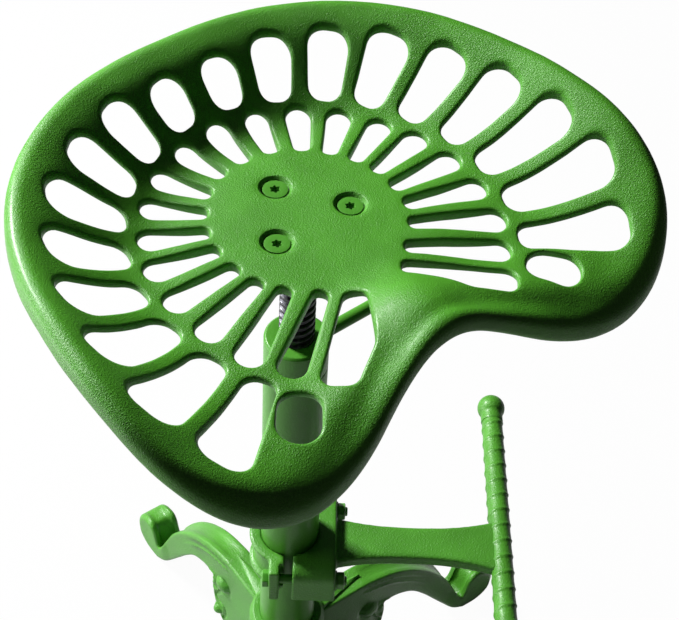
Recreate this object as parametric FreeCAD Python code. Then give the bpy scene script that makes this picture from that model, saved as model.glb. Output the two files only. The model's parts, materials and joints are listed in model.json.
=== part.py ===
"""Adjustable stool with a pierced cast-iron tractor seat, a screw column, a clamped foot bar
and four scrolled legs. Millimetres, +Z up, column axis on Z, floor at Z = 0, seat front to -Y."""

import os
from math import cos, hypot, pi, radians, sin, tan

import FreeCAD, Part

os.makedirs("parts", exist_ok=True)

V = FreeCAD.Vector
UP = V(0, 0, 1)

# Heights of the main levels above the floor
SEAT_TOP = 665.0
COLUMN_TOP = 509.0
COLUMN_FOOT = 30.0
LOCK_NUT_HEIGHT = 30.0

# Seat pan, a dish of even wall with a rolled lip
WALL = 8.5
POLAR_Y = -14.0
HUB_SHARE = 0.25
LIP_ROUND = 9.5
COLUMNS_ROUND = 60
SECTION_SHARES = (0.34, 0.43, 0.52, 0.61, 0.70, 0.78, 0.85)
# Angle from the back, lip radius, lip height above the flat middle, start and end of the rise
# as shares of the radius, dip of the floor before the rise, ridge of the pommel, drop of the lip
PLAN = (
    (0, 179.0, 46.0, 0.56, 0.92, 1.5, 0, 22.5),
    (20, 184.5, 46.0, 0.56, 0.93, 1.5, 0, 22.0),
    (40, 192.5, 46.5, 0.56, 0.95, 1.0, 0, 21.0),
    (60, 201.0, 45.5, 0.57, 0.96, 0.5, 0, 20.0),
    (80, 208.0, 44.5, 0.58, 1.02, 0.5, 0, 18.0),
    (95, 216.0, 45.5, 0.59, 1.06, 1.0, 0, 17.0),
    (110, 231.0, 40.0, 0.59, 1.07, 3.0, 0, 16.5),
    (122, 243.5, 18.0, 0.60, 1.10, 5.0, 0, 17.0),
    (132, 239.0, -8.5, 0.65, 1.05, 6.5, 0, 18.0),
    (141, 220.5, -23.0, 0.78, 1.02, 7.0, 1, 18.5),
    (150, 192.0, -19.5, 0.76, 1.00, 3.5, 3, 18.5),
    (160, 160.5, -2.0, 0.72, 1.00, 0.0, 10, 17.0),
    (170, 143.5, 13.0, 0.46, 0.90, 0.0, 8, 14.5),
    (180, 140.0, 19.5, 0.42, 0.85, 0.0, 4, 13.0),
)
DIP_START = 0.34
DIP_END = 0.56
RIDGE_START = 0.36
RIDGE_TOP = 0.70
RIDGE_END = 0.94
# Where the lip stands lower than this, it rolls straight over the thighs with no bead
FALL_BELOW = 14.0
FALL_SPAN = 22.0

# Slot beside the pommel: corners x, y and their radii
POMMEL_SLOT = ((24, -77, 6), (84, -126, 9), (68, -143, 9), (40, -127, 18), (15, -88, 6))
# Slots of the inner ring: inner end x, y, outer end x, y, inner width, outer width
INNER_SLOTS = (
    (35, -68, 94, -109, 10, 20),
    (52, -52, 111, -86, 10, 22),
    (62, -36, 121, -54, 11, 21),
    (66, -17.5, 124, -20.5, 11, 21),
    (66.5, 2, 119, 12, 10, 21.5),
    (62, 19.5, 106, 39.5, 10, 20),
    (52.5, 35.5, 87, 65.5, 10, 20),
    (39.5, 49.5, 63, 86, 10.5, 20),
    (21, 60, 33, 98.5, 10.5, 19),
    (0, 63, 0, 103.5, 11, 20.5),
)
# Slots of the outer ring, set between those of the inner one
OUTER_SLOTS = (
    (96, -123, 119, -152, 27, 29),
    (108, -102, 172, -143, 21, 36),
    (123, -71, 193, -101, 24, 37),
    (130, -36, 195, -53, 23, 35),
    (129, -2, 188, -4.5, 21, 36),
    (119, 30.5, 172.5, 40, 20.5, 35),
    (103, 58, 147.5, 80, 21, 35),
    (81.5, 79, 111, 111, 22, 33),
    (52, 96, 69.5, 130.5, 21, 34),
    (19, 106, 23.5, 135, 22, 31),
)
SLOT_CORNER = 11.0

# Seat fastening
SCREW_CIRCLE = 66.0
SCREW_COUNT = 3
SCREW_HEAD_R = 9.0
SCREW_SHANK_R = 5.0
PLATE_R = 41.0
PLATE_THICK = 8.0
BOSS_R = 22.0
BOSS_HEIGHT = 14.0

# Screw spindle and the pieces that carry it
SPINDLE_R = 13.4
FIT = 0.05
SPINDLE_BELOW_TOP = 275.0
COLUMN_R = 24.5
COLUMN_BORE = 20.5
COLUMN_NUT_HEIGHT = 42.0
GUIDE_HEIGHT = 26.0

# Legs
LEG_COUNT = 4
LEG_TURN = -3.0
LEG_WIDTH = 25.0
LEG_FOOT = 32.0
ROOT_TOP = 154.0
ROOT_REACH = 84.0
FOOT_WIDTH = 32.0
SCROLL_AT = (230.0, 24.0)
SCROLL_R = 24.0
PLATE_LEVEL = 24.0
BASE_PLATE_R = 66.0

# Foot bar, its arm and the clamp on the column
ARM_TURN = -39.5
ARM_LEVEL = 276.0
ARM_THICK = 12.5
ARM_REACH = 181.0
ARM_WAIST = 32.0
ARM_FLARE = 54.0
BAR_R = 10.0
BAR_HALF = 150.0
BALL_R = 12.7
CLAMP_FOOT = 247.0
CLAMP_HEIGHT = 38.0
CLAMP_WALL = 8.5
CLAMP_RIM = 12.5
RIM_HEIGHT = 5.0
CLAMP_GAP = 4.0
CLAMP_BOLT_OUT = 36.0
SPOT_R = 8.6
EAR_OUT = 45.0
EAR_THICK = 12.0
BLOCK_LONG = 36.0


def save(name, shape):
    """Writes one named piece, which may be a group of separate solids."""
    if not shape.isValid():
        print("not valid:", name)
    shape.exportStep("parts/" + name + ".step")
    print(name, len(shape.Solids), "solids", round(shape.Volume / 1000.0, 1), "cm3")


def group(solids):
    return Part.makeCompound(solids)


def disc(radius, height, x=0.0, y=0.0, z=0.0):
    return Part.makeCylinder(radius, height, V(x, y, z))


def turned(shape, degrees):
    """A copy of the shape, turned about the column axis."""
    copy = shape.copy()
    copy.rotate(V(0, 0, 0), UP, degrees)
    return copy


def revolve(points):
    """Solid of revolution about Z from radius and height pairs."""
    corners = [V(r, 0, z) for r, z in points]
    face = Part.Face(Part.makePolygon(corners + corners[:1]))
    return face.revolve(V(0, 0, 0), UP, 360)


def rounded(corners, radii):
    """Closed wire through the corners, each rounded by its own radius."""
    count = len(corners)
    edges = []
    ends = []
    for i in range(count):
        here = corners[i]
        back = (corners[i - 1] - here).normalize()
        ahead = (corners[(i + 1) % count] - here).normalize()
        half = back.getAngle(ahead) / 2.0
        reach = radii[i] / tan(half)
        middle = (back + ahead).normalize()
        top = here + middle * (radii[i] / sin(half) - radii[i])
        ends.append((here + back * reach, top, here + ahead * reach))
    for i in range(count):
        start, top, end = ends[i]
        edges.append(Part.Arc(start, top, end).toShape())
        following = ends[(i + 1) % count][0]
        if (following - end).Length > 0.01:
            edges.append(Part.LineSegment(end, following).toShape())
    return Part.Wire(edges)


def hexagon(across_flats, height, base, axis):
    """Hexagonal prism from its base point along the axis."""
    side = V(0, 0, 1) if abs(axis.z) < 0.5 else V(1, 0, 0)
    other = axis.cross(side)
    far = across_flats / 2.0 / cos(pi / 6)
    corners = [base + side * (far * cos(k * pi / 3)) + other * (far * sin(k * pi / 3)) for k in range(6)]
    return Part.Face(Part.makePolygon(corners + corners[:1])).extrude(axis * height)


def plan_value(degrees, column):
    """Smooth value of one plan column at an angle, mirrored left to right."""
    angle = abs((degrees + 180.0) % 360.0 - 180.0)
    table = [(-PLAN[1][0], PLAN[1][column])] + [(row[0], row[column]) for row in PLAN]
    table.append((360 - PLAN[-2][0], PLAN[-2][column]))
    i = 1
    while i < len(table) - 3 and angle > table[i + 1][0]:
        i += 1
    (a0, v0), (a1, v1), (a2, v2), (a3, v3) = table[i - 1:i + 3]
    t = (angle - a1) / (a2 - a1)
    slope1 = (v2 - v0) / (a2 - a0) * (a2 - a1)
    slope2 = (v3 - v1) / (a3 - a1) * (a2 - a1)
    return (
        v1 * (1 + 2 * t) * (1 - t) ** 2
        + v2 * t * t * (3 - 2 * t)
        + slope1 * t * (1 - t) ** 2
        - slope2 * t * t * (1 - t)
    )


def ease(t):
    """Smooth step from 0 to 1."""
    t = min(max(t, 0.0), 1.0)
    return t * t * (3 - 2 * t)


def seat_section(degrees):
    """Upper line of the dish at one angle, as radius and height pairs, out to the lip's lower edge."""
    reach, crest, start, end, dip, ridge, drop = [plan_value(degrees, k) for k in range(1, 8)]
    shoulder = 1.0 - 1.1 * LIP_ROUND / reach
    whole = ease((shoulder - start) / (end - start))
    line = [(HUB_SHARE * reach, 0.0), ((HUB_SHARE + 0.03) * reach, 0.0)]
    for share in SECTION_SHARES:
        rise = (crest + dip) * min(ease((share - start) / (end - start)) / whole, 1.0)
        fall = dip * ease((share - DIP_START) / (DIP_END - DIP_START))
        up = ease((share - RIDGE_START) / (RIDGE_TOP - RIDGE_START))
        down = ease((share - RIDGE_TOP) / (RIDGE_END - RIDGE_TOP))
        line.append((share * reach, rise - fall + ridge * up * (1 - down)))
    falling = ease((FALL_BELOW - crest) / FALL_SPAN)
    line.append((reach - 1.7 * LIP_ROUND, crest + (0.75 * falling - 0.10) * LIP_ROUND))
    line.append((reach - 0.9 * LIP_ROUND, crest + (0.08 * falling + 0.22) * LIP_ROUND))
    line.append((reach - 0.1 * LIP_ROUND, crest - (0.10 * falling + 0.15) * LIP_ROUND))
    line.append((reach, crest - LIP_ROUND))
    line.append((reach, crest - drop))
    return line


def inward(line, depth):
    """The same line moved to its inner side by the wall thickness."""
    moved = []
    for i, (r, z) in enumerate(line):
        r0, z0 = line[max(i - 1, 0)]
        r1, z1 = line[min(i + 1, len(line) - 1)]
        length = hypot(r1 - r0, z1 - z0)
        moved.append((r + (z1 - z0) / length * depth, z - (r1 - r0) / length * depth))
    return moved


def dish():
    """Closed dish: one skin round the section, and flat faces above and below in the middle."""
    rows = None
    for k in range(COLUMNS_ROUND):
        degrees = 180.0 + (k + 0.5) * 360.0 / COLUMNS_ROUND
        upper = seat_section(degrees)
        section = upper + inward(upper, WALL)[::-1]
        if rows is None:
            rows = [[] for _ in section]
        for row, (r, z) in zip(rows, section):
            x = r * sin(radians(degrees))
            y = POLAR_Y + r * cos(radians(degrees))
            row.append(V(x, y, SEAT_TOP + z))
    degree = 3
    inner_knots = len(rows) - degree - 1
    skin = Part.BSplineSurface()
    skin.buildFromPolesMultsKnots(
        rows,
        [degree + 1] + [1] * inner_knots + [degree + 1],
        [1] * (COLUMNS_ROUND + 1),
        [float(k) for k in range(inner_knots + 2)],
        [float(k) for k in range(COLUMNS_ROUND + 1)],
        False,
        True,
        degree,
        degree,
    )
    face = skin.toShape()
    rims = sorted(
        (edge for edge in face.Edges if edge.isClosed()), key=lambda edge: -edge.BoundBox.ZMax
    )
    top = Part.Face(Part.Wire([rims[0]]))
    bottom = Part.Face(Part.Wire([rims[-1]]))
    shell = Part.Shell([face, top, bottom])
    shell.sewShape()
    solid = Part.Solid(shell)
    if solid.Volume < 0:
        solid.reverse()
    return solid


def slot_cutter(x0, y0, x1, y1, inner_width, outer_width, outer_round):
    """Upright prism of one slot, round at its inner end and broader at its outer end."""
    along = V(x1 - x0, y1 - y0, 0).normalize()
    across = V(-along.y, along.x, 0)
    level = SEAT_TOP - 70.0
    inner = V(x0, y0, level)
    outer = V(x1, y1, level)
    corners = [
        inner - across * (inner_width / 2.0),
        outer - across * (outer_width / 2.0),
        outer + across * (outer_width / 2.0),
        inner + across * (inner_width / 2.0),
    ]
    inner_round = 0.44 * inner_width
    radii = [inner_round, outer_round, outer_round, inner_round]
    return Part.Face(rounded(corners, radii)).extrude(V(0, 0, 160))


def mirrored_slots(table, outer_round_share):
    """Cutters of one ring, on both sides of the seat's middle plane."""
    cutters = []
    for x0, y0, x1, y1, inner_width, outer_width in table:
        outer_round = min(outer_round_share * outer_width, SLOT_CORNER)
        for side in (1, -1) if x0 else (1,):
            cutters.append(
                slot_cutter(side * x0, y0, side * x1, y1, inner_width, outer_width, outer_round)
            )
    return cutters


def pommel_slots():
    """Cutters of the two slots beside the pommel, whose front edge bends round it."""
    cutters = []
    for side in (1, -1):
        corners = [V(side * x, y, SEAT_TOP - 70.0) for x, y, _ in POMMEL_SLOT]
        radii = [radius for _, _, radius in POMMEL_SLOT]
        cutters.append(Part.Face(rounded(corners, radii)).extrude(V(0, 0, 160)))
    return cutters


def screw_places():
    """Centres of the seat screws, the first one at the back."""
    radius = SCREW_CIRCLE / 2.0
    angles = [radians(90 + 360.0 * k / SCREW_COUNT) for k in range(SCREW_COUNT)]
    return [(radius * cos(a), radius * sin(a)) for a in angles]


def countersink(x, y, clearance):
    """Clearance hole and cone for one seat screw, from the plate up through the pan."""
    head = SCREW_HEAD_R + clearance
    shank = SCREW_SHANK_R + clearance
    depth = head - shank
    cone = Part.makeCone(shank, head, depth, V(x, y, SEAT_TOP - 0.5 - depth))
    lip = disc(head, 1.0, x, y, SEAT_TOP - 0.5)
    hole = disc(shank, WALL + 4.0, x, y, SEAT_TOP - WALL - 2.0)
    return hole.fuse([cone, lip])


def seat_pan():
    pan = dish()
    cutters = pommel_slots() + mirrored_slots(INNER_SLOTS, 0.42)
    cutters += mirrored_slots(OUTER_SLOTS, 0.33)
    cutters += [countersink(x, y, 0.3) for x, y in screw_places()]
    return pan.cut(cutters)


def seat_screws():
    screws = []
    for x, y in screw_places():
        depth = SCREW_HEAD_R - SCREW_SHANK_R
        top = SEAT_TOP - 0.8
        head = Part.makeCone(SCREW_SHANK_R, SCREW_HEAD_R, depth, V(x, y, top - depth))
        shank = disc(SCREW_SHANK_R, 16.0 - depth, x, y, top - 16.0)
        socket = hexagon(6.0, 3.5, V(x, y, top - 3.0), UP)
        screws.append(head.fuse(shank).cut(socket))
    return group(screws)


def seat_plate():
    """Flange under the pan, with a boss that holds the top of the spindle."""
    top = SEAT_TOP - WALL
    plate = disc(PLATE_R, PLATE_THICK, z=top - PLATE_THICK)
    plate = plate.fuse(disc(BOSS_R, BOSS_HEIGHT, z=top - PLATE_THICK - BOSS_HEIGHT))
    plate = plate.cut(disc(SPINDLE_R, BOSS_HEIGHT + 4.0, z=top - PLATE_THICK - BOSS_HEIGHT))
    holes = [disc(SCREW_SHANK_R, PLATE_THICK, x, y, top - PLATE_THICK) for x, y in screw_places()]
    return plate.cut(holes)


def lever():
    """Straight round handle, screwed into the side of the lock nut."""
    level = COLUMN_TOP + LOCK_NUT_HEIGHT - 13.5
    start = COLUMN_R - 6.0
    rod = Part.makeCylinder(5.25, 92.0, V(start, 0, level), V(1, 0, 0))
    tip = Part.makeSphere(5.25, V(start + 92.0, 0, level))
    return rod.fuse(tip), Part.makeCylinder(5.25, 40.0, V(start, 0, level), V(1, 0, 0))


def leg():
    """One cast leg along +X: knee, S-curve and scrolled foot, with a drop behind the arch."""
    half = LEG_WIDTH / 2.0
    sx, sz = SCROLL_AT
    root = COLUMN_R - 2.0
    pad = sx - 14.0
    crown = [(ROOT_REACH, ROOT_TOP), (114, 145), (140, 129), (165, 105), (186, 76), (199, 50), (206.5, 28)]
    arch = [(pad, 0), (203, 9), (190, 26), (175, 48), (160, 70), (143, 90), (124, 101), (108, 103)]
    drop = [(108, 103), (109, 84), (104, 58), (90, 40), (66, LEG_FOOT)]
    top_line = Part.BSplineCurve()
    top_line.interpolate([V(r, half, z) for r, z in crown])
    over = V(sx, half, sz + SCROLL_R)
    down = V(sx + SCROLL_R, half, sz)
    low = V(sx, half, 0)
    throat = V(crown[-1][0], half, crown[-1][1])
    curl = Part.Arc(throat, V(sx - SCROLL_R * 0.62, half, sz + SCROLL_R * 0.78), over)
    curl_out = Part.Arc(over, V(sx + SCROLL_R * cos(pi / 4), half, sz + SCROLL_R * sin(pi / 4)), down)
    curl_in = Part.Arc(down, V(sx + SCROLL_R * cos(pi / 4), half, sz - SCROLL_R * sin(pi / 4)), low)
    under = Part.BSplineCurve()
    under.interpolate([V(r, half, z) for r, z in arch])
    lobe = Part.BSplineCurve()
    lobe.interpolate([V(r, half, z) for r, z in drop])
    flat = Part.LineSegment(low, V(pad, half, 0))
    foot = Part.LineSegment(V(66, half, LEG_FOOT), V(root, half, LEG_FOOT))
    side = Part.LineSegment(V(root, half, LEG_FOOT), V(root, half, ROOT_TOP))
    cap = Part.LineSegment(V(root, half, ROOT_TOP), V(ROOT_REACH, half, ROOT_TOP))
    pieces = [cap, top_line, curl, curl_out, curl_in, flat, under, lobe, foot, side]
    wire = Part.Wire([piece.toShape() for piece in pieces])
    body = Part.Face(wire).extrude(V(0, -LEG_WIDTH, 0))
    scroll = Part.makeCylinder(SCROLL_R - 1.0, FOOT_WIDTH, V(sx, FOOT_WIDTH / 2.0, sz), V(0, -1, 0))
    eye = Part.makeCylinder(9.0, LEG_WIDTH + 6.0, V(92, half + 3.0, 103), V(0, -1, 0))
    body = body.fuse([scroll, eye])
    bore = disc(COLUMN_R, 200.0)
    hole = disc(4.1, 34.0, 50.0, 0, 30.0)
    return body.cut([bore, hole])


def leg_collar():
    """Ring round the column with a pointed tongue over the root of each leg."""
    base = ROOT_TOP
    ring = revolve([(COLUMN_R, base), (34, base), (34, base + 10), (31, base + 16), (COLUMN_R, base + 16)])
    tongues = []
    for k in range(LEG_COUNT):
        corners = [V(30, -12, base), V(ROOT_REACH, 0, base), V(30, 12, base)]
        tongue = Part.Face(Part.makePolygon(corners + corners[:1])).extrude(V(0, 0, 5))
        tongues.append(turned(tongue, LEG_TURN + 90 * k))
    return ring.fuse(tongues)


def base_plate():
    plate = disc(BASE_PLATE_R, 8.0, z=PLATE_LEVEL)
    holes = [turned(disc(4.5, 8.0, 50.0, 0, PLATE_LEVEL), LEG_TURN + 90 * k) for k in range(LEG_COUNT)]
    holes.append(disc(6.5, 8.0, z=PLATE_LEVEL))
    return plate.cut(holes)


def bolt(shank_r, length, flats, head, tip, axis):
    """Hexagon bolt whose shank starts under the head at the tip point and runs along the axis."""
    shank = Part.makeCylinder(shank_r, length, tip, axis)
    return shank.fuse(hexagon(flats, head, tip - axis * head, axis))


def leg_bolts():
    place = V(50.0, 0, PLATE_LEVEL - 2.0)
    one = bolt(4.0, 34.0, 13.0, 5.5, place, UP)
    return group([turned(one, LEG_TURN + 90 * k) for k in range(LEG_COUNT)])


def leg_washers():
    one = disc(8.5, 2.0, 50.0, 0, PLATE_LEVEL - 2.0).cut(disc(4.2, 2.0, 50.0, 0, PLATE_LEVEL - 2.0))
    return group([turned(one, LEG_TURN + 90 * k) for k in range(LEG_COUNT)])


def arm_outline(level):
    """Flat arm along +X with hollow sides, from the clamp to the bar."""
    start = COLUMN_R + 5.0
    middle = (start + ARM_REACH) / 2.0
    flare = ARM_FLARE / 2.0
    waist = ARM_WAIST / 2.0
    left = Part.Arc(V(start, flare, level), V(middle, waist, level), V(ARM_REACH, flare, level))
    right = Part.Arc(V(ARM_REACH, -flare, level), V(middle, -waist, level), V(start, -flare, level))
    far = Part.LineSegment(V(ARM_REACH, flare, level), V(ARM_REACH, -flare, level))
    near = Part.LineSegment(V(start, -flare, level), V(start, flare, level))
    return Part.Wire([edge.toShape() for edge in (left, far, right, near)])


def box_between(low, high):
    """Box from its lowest to its highest corner."""
    return Part.makeBox(high.x - low.x, high.y - low.y, high.z - low.z, low)


def clamp_halves():
    """Both half shells of the clamp with their raised rims, the ears behind and the block in front."""
    top = CLAMP_FOOT + CLAMP_HEIGHT
    barrel = disc(COLUMN_R + CLAMP_WALL, CLAMP_HEIGHT, z=CLAMP_FOOT)
    for level in (CLAMP_FOOT, top - RIM_HEIGHT):
        barrel = barrel.fuse(disc(COLUMN_R + CLAMP_RIM, RIM_HEIGHT, z=level))
    front = box_between(V(CLAMP_GAP, -90, CLAMP_FOOT - 1), V(90, 90, top + 1))
    back = box_between(V(-90, -90, CLAMP_FOOT - 1), V(-CLAMP_GAP, 90, top + 1))
    block = box_between(V(CLAMP_GAP, -EAR_OUT, CLAMP_FOOT), V(CLAMP_GAP + BLOCK_LONG, EAR_OUT, top))
    long_edges = [e for e in block.Edges if e.BoundBox.XLength > BLOCK_LONG - 1]
    block = block.makeFillet(8.0, [e for e in long_edges if e.BoundBox.ZMin > top - 1])
    ear_face = -CLAMP_GAP - EAR_THICK
    corners = []
    for side in (1, -1):
        half = [(-CLAMP_GAP, EAR_OUT), (ear_face, EAR_OUT), (ear_face, EAR_OUT - 8), (ear_face - 8, 27)]
        corners += [V(x, side * y, CLAMP_FOOT) for x, y in half[::side]]
    ears = Part.Face(Part.makePolygon(corners + corners[:1])).extrude(V(0, 0, CLAMP_HEIGHT))
    return barrel.common(front).fuse(block), barrel.common(back).fuse(ears)


def footrest_pieces():
    """Arm with its half of the clamp, bar, balls, rear half shell, bolts, washers and nuts."""
    level = CLAMP_FOOT + CLAMP_HEIGHT / 2.0
    bar_out = ARM_REACH + 2.0
    block_face = CLAMP_GAP + BLOCK_LONG
    ear_face = -CLAMP_GAP - EAR_THICK
    along = V(1, 0, 0)
    arm = Part.Face(arm_outline(ARM_LEVEL - ARM_THICK / 2.0)).extrude(V(0, 0, ARM_THICK))
    arm = arm.makeFillet(3.0, [e for e in arm.Edges if isinstance(e.Curve, Part.Circle)])
    bore = disc(COLUMN_R + FIT, CLAMP_HEIGHT + 2, z=CLAMP_FOOT - 1)
    bar = Part.makeCylinder(BAR_R, 2 * BAR_HALF, V(bar_out, BAR_HALF, ARM_LEVEL), V(0, -1, 0))
    drills = []
    spot_faces = []
    bolts = []
    washers = []
    nuts = []
    for side in (1, -1):
        y = side * CLAMP_BOLT_OUT
        drills.append(Part.makeCylinder(4.4, 120, V(-60, y, level), along))
        spot_faces.append(Part.makeCylinder(SPOT_R, 30, V(ear_face, y, level), -along))
        bolts.append(bolt(4.0, 66.0, 13.0, 6.0, V(ear_face, y, level), along))
        ring = Part.makeCylinder(8.5, 1.6, V(block_face, y, level), along)
        washers.append(ring.cut(drills[-1]))
        nut = hexagon(13.0, 6.5, V(block_face + 1.6, y, level), along)
        nuts.append(nut.cut(Part.makeCylinder(4.05, 20, V(block_face - 2, y, level), along)))
    near_half, far_half = clamp_halves()
    balls = []
    for side in (1, -1):
        ball = Part.makeSphere(BALL_R, V(bar_out, side * (BAR_HALF + 8.0), ARM_LEVEL))
        balls.append(ball.cut(bar))
    pieces = {
        "footrest_arm": near_half.fuse(arm).cut([bore, bar] + drills),
        "footrest_bar": bar,
        "bar_balls": group(balls),
        "clamp_shell": far_half.cut([bore] + drills + spot_faces),
        "clamp_bolts": group(bolts),
        "clamp_washers": group(washers),
        "clamp_nuts": group(nuts),
    }
    return {name: turned(shape, ARM_TURN) for name, shape in pieces.items()}


# Seat group
save("seat_pan", seat_pan())
save("seat_screws", seat_screws())
save("seat_plate", seat_plate())
spindle_foot = SEAT_TOP - SPINDLE_BELOW_TOP
spindle_head = SEAT_TOP - WALL - PLATE_THICK - BOSS_HEIGHT + 18.0
end_bore = disc(4.0, 30.0, z=spindle_foot)
save("spindle", disc(SPINDLE_R, spindle_head - spindle_foot, z=spindle_foot).cut(end_bore))
save("stop_washer", disc(18.0, 4.0, z=spindle_foot - 4.0).cut(disc(4.2, 4.0, z=spindle_foot - 4.0)))
save("end_screw", bolt(3.9, 26.0, 13.0, 5.5, V(0, 0, spindle_foot - 4.0), UP))

# Guide that slides in the column with the spindle
guide_level = spindle_foot + 0.2
save("guide_bush", disc(COLUMN_BORE - 0.3, GUIDE_HEIGHT, z=guide_level).cut(
    disc(SPINDLE_R + FIT, GUIDE_HEIGHT, z=guide_level)))

# Column group
save("column_tube", disc(COLUMN_R, COLUMN_TOP - COLUMN_FOOT - 2.0, z=COLUMN_FOOT + 2.0).cut(
    disc(COLUMN_BORE, 700.0)))
save("column_nut", disc(COLUMN_BORE, COLUMN_NUT_HEIGHT, z=COLUMN_TOP - COLUMN_NUT_HEIGHT).cut(
    disc(SPINDLE_R + FIT, COLUMN_NUT_HEIGHT, z=COLUMN_TOP - COLUMN_NUT_HEIGHT)))
save("column_plug", disc(COLUMN_BORE, 24.0, z=COLUMN_FOOT + 2.0).cut(disc(5.0, 24.0, z=COLUMN_FOOT + 2.0)))
save("centre_bolt", bolt(5.0, 28.0, 17.0, 6.5, V(0, 0, PLATE_LEVEL), UP))
save("leg_collar", leg_collar())
save("base_plate", base_plate())
save("leg_bolts", leg_bolts())
save("leg_washers", leg_washers())
one_leg = leg()
for k, place in enumerate(("right", "rear", "left", "front")):
    save("leg_" + place, turned(one_leg, LEG_TURN + 90 * k))

# Lock nut and its handle
handle, socket = lever()
lock_level = COLUMN_TOP + 0.3
nut = revolve([
    (SPINDLE_R + FIT, lock_level),
    (COLUMN_R, lock_level),
    (COLUMN_R, lock_level + LOCK_NUT_HEIGHT - 1.5),
    (COLUMN_R - 1.5, lock_level + LOCK_NUT_HEIGHT),
    (SPINDLE_R + FIT, lock_level + LOCK_NUT_HEIGHT),
])
save("lock_nut", nut.cut(socket))
save("lock_lever", handle)

# Foot bar group
for name, shape in footrest_pieces().items():
    save(name, shape)
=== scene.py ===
"""Looks of an adjustable stool with a pierced cast-iron tractor seat, a screw column, a clamped foot
bar and four scrolled legs: fine forms, paint, floor, light and camera. Metres, column axis on Z."""

import json
from math import ceil, cos, pi, radians, sin, tau

import bmesh
import bpy
import numpy as np
from bpy.props import FloatProperty, FloatVectorProperty, IntProperty, PointerProperty
from mathutils import Matrix, Vector, noise
from mathutils.geometry import delaunay_2d_cdt
from mathutils.kdtree import KDTree


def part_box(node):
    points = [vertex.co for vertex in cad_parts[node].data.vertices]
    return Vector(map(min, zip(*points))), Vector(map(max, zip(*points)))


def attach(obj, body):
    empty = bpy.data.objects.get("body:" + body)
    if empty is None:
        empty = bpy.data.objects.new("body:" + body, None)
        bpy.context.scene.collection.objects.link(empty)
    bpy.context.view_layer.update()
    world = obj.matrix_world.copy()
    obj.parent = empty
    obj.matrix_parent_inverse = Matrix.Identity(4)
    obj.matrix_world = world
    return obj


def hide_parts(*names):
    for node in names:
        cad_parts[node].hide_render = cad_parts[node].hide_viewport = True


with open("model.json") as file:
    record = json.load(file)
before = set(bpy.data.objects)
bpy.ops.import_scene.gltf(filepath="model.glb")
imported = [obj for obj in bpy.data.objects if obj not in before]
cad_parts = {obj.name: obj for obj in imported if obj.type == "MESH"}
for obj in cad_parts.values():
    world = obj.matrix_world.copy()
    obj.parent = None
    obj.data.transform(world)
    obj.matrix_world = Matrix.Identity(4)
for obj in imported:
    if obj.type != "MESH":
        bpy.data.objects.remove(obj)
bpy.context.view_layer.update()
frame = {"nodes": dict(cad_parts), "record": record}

bl_info = {
    "name": "Tractor Seat Stool",
    "version": (1, 0, 0),
    "blender": (4, 5, 0),
    "location": "View3D > Sidebar > Stool",
    "description": "Dresses the stool: pierced seat, screw, legs, foot bar, paint, light and camera",
    "category": "Add Mesh",
}

MM = 0.001
SHARP_ANGLE = radians(38)
NOISE_SEED = 7

# Seat dish: the same driving sizes as the solid, in millimetres
SEAT_TOP = 665.0
WALL = 8.5
POLAR_Y = -14.0
HUB_SHARE = 0.25
LIP_ROUND = 9.5
COLUMNS_ROUND = 60
SECTION_SHARES = (0.34, 0.43, 0.52, 0.61, 0.70, 0.78, 0.85)
# Angle from the back, lip radius, lip height, start and end of the rise, dip, ridge, drop of the lip
PLAN = (
    (0, 179.0, 46.0, 0.56, 0.92, 1.5, 0, 22.5),
    (20, 184.5, 46.0, 0.56, 0.93, 1.5, 0, 22.0),
    (40, 192.5, 46.5, 0.56, 0.95, 1.0, 0, 21.0),
    (60, 201.0, 45.5, 0.57, 0.96, 0.5, 0, 20.0),
    (80, 208.0, 44.5, 0.58, 1.02, 0.5, 0, 18.0),
    (95, 216.0, 45.5, 0.59, 1.06, 1.0, 0, 17.0),
    (110, 231.0, 40.0, 0.59, 1.07, 3.0, 0, 16.5),
    (122, 243.5, 18.0, 0.60, 1.10, 5.0, 0, 17.0),
    (132, 239.0, -8.5, 0.65, 1.05, 6.5, 0, 18.0),
    (141, 220.5, -23.0, 0.78, 1.02, 7.0, 1, 18.5),
    (150, 192.0, -19.5, 0.76, 1.00, 3.5, 3, 18.5),
    (160, 160.5, -2.0, 0.72, 1.00, 0.0, 10, 17.0),
    (170, 143.5, 13.0, 0.46, 0.90, 0.0, 8, 14.5),
    (180, 140.0, 19.5, 0.42, 0.85, 0.0, 4, 13.0),
)
DIP_SHARES = (0.34, 0.56)
RIDGE_SHARES = (0.36, 0.70, 0.94)
# Lip in shares of its rounding: distance from the edge, height added where the lip is low, and height
LIP_SHAPE = ((1.7, 0.75, -0.10), (0.9, 0.08, 0.22), (0.1, -0.10, -0.15))
FALL_BELOW = 14.0
FALL_SPAN = 22.0
# Slot beside the pommel: corners x, y and their radii
POMMEL_SLOT = ((24, -77, 6), (84, -126, 9), (68, -143, 9), (40, -127, 18), (15, -88, 6))
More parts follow.
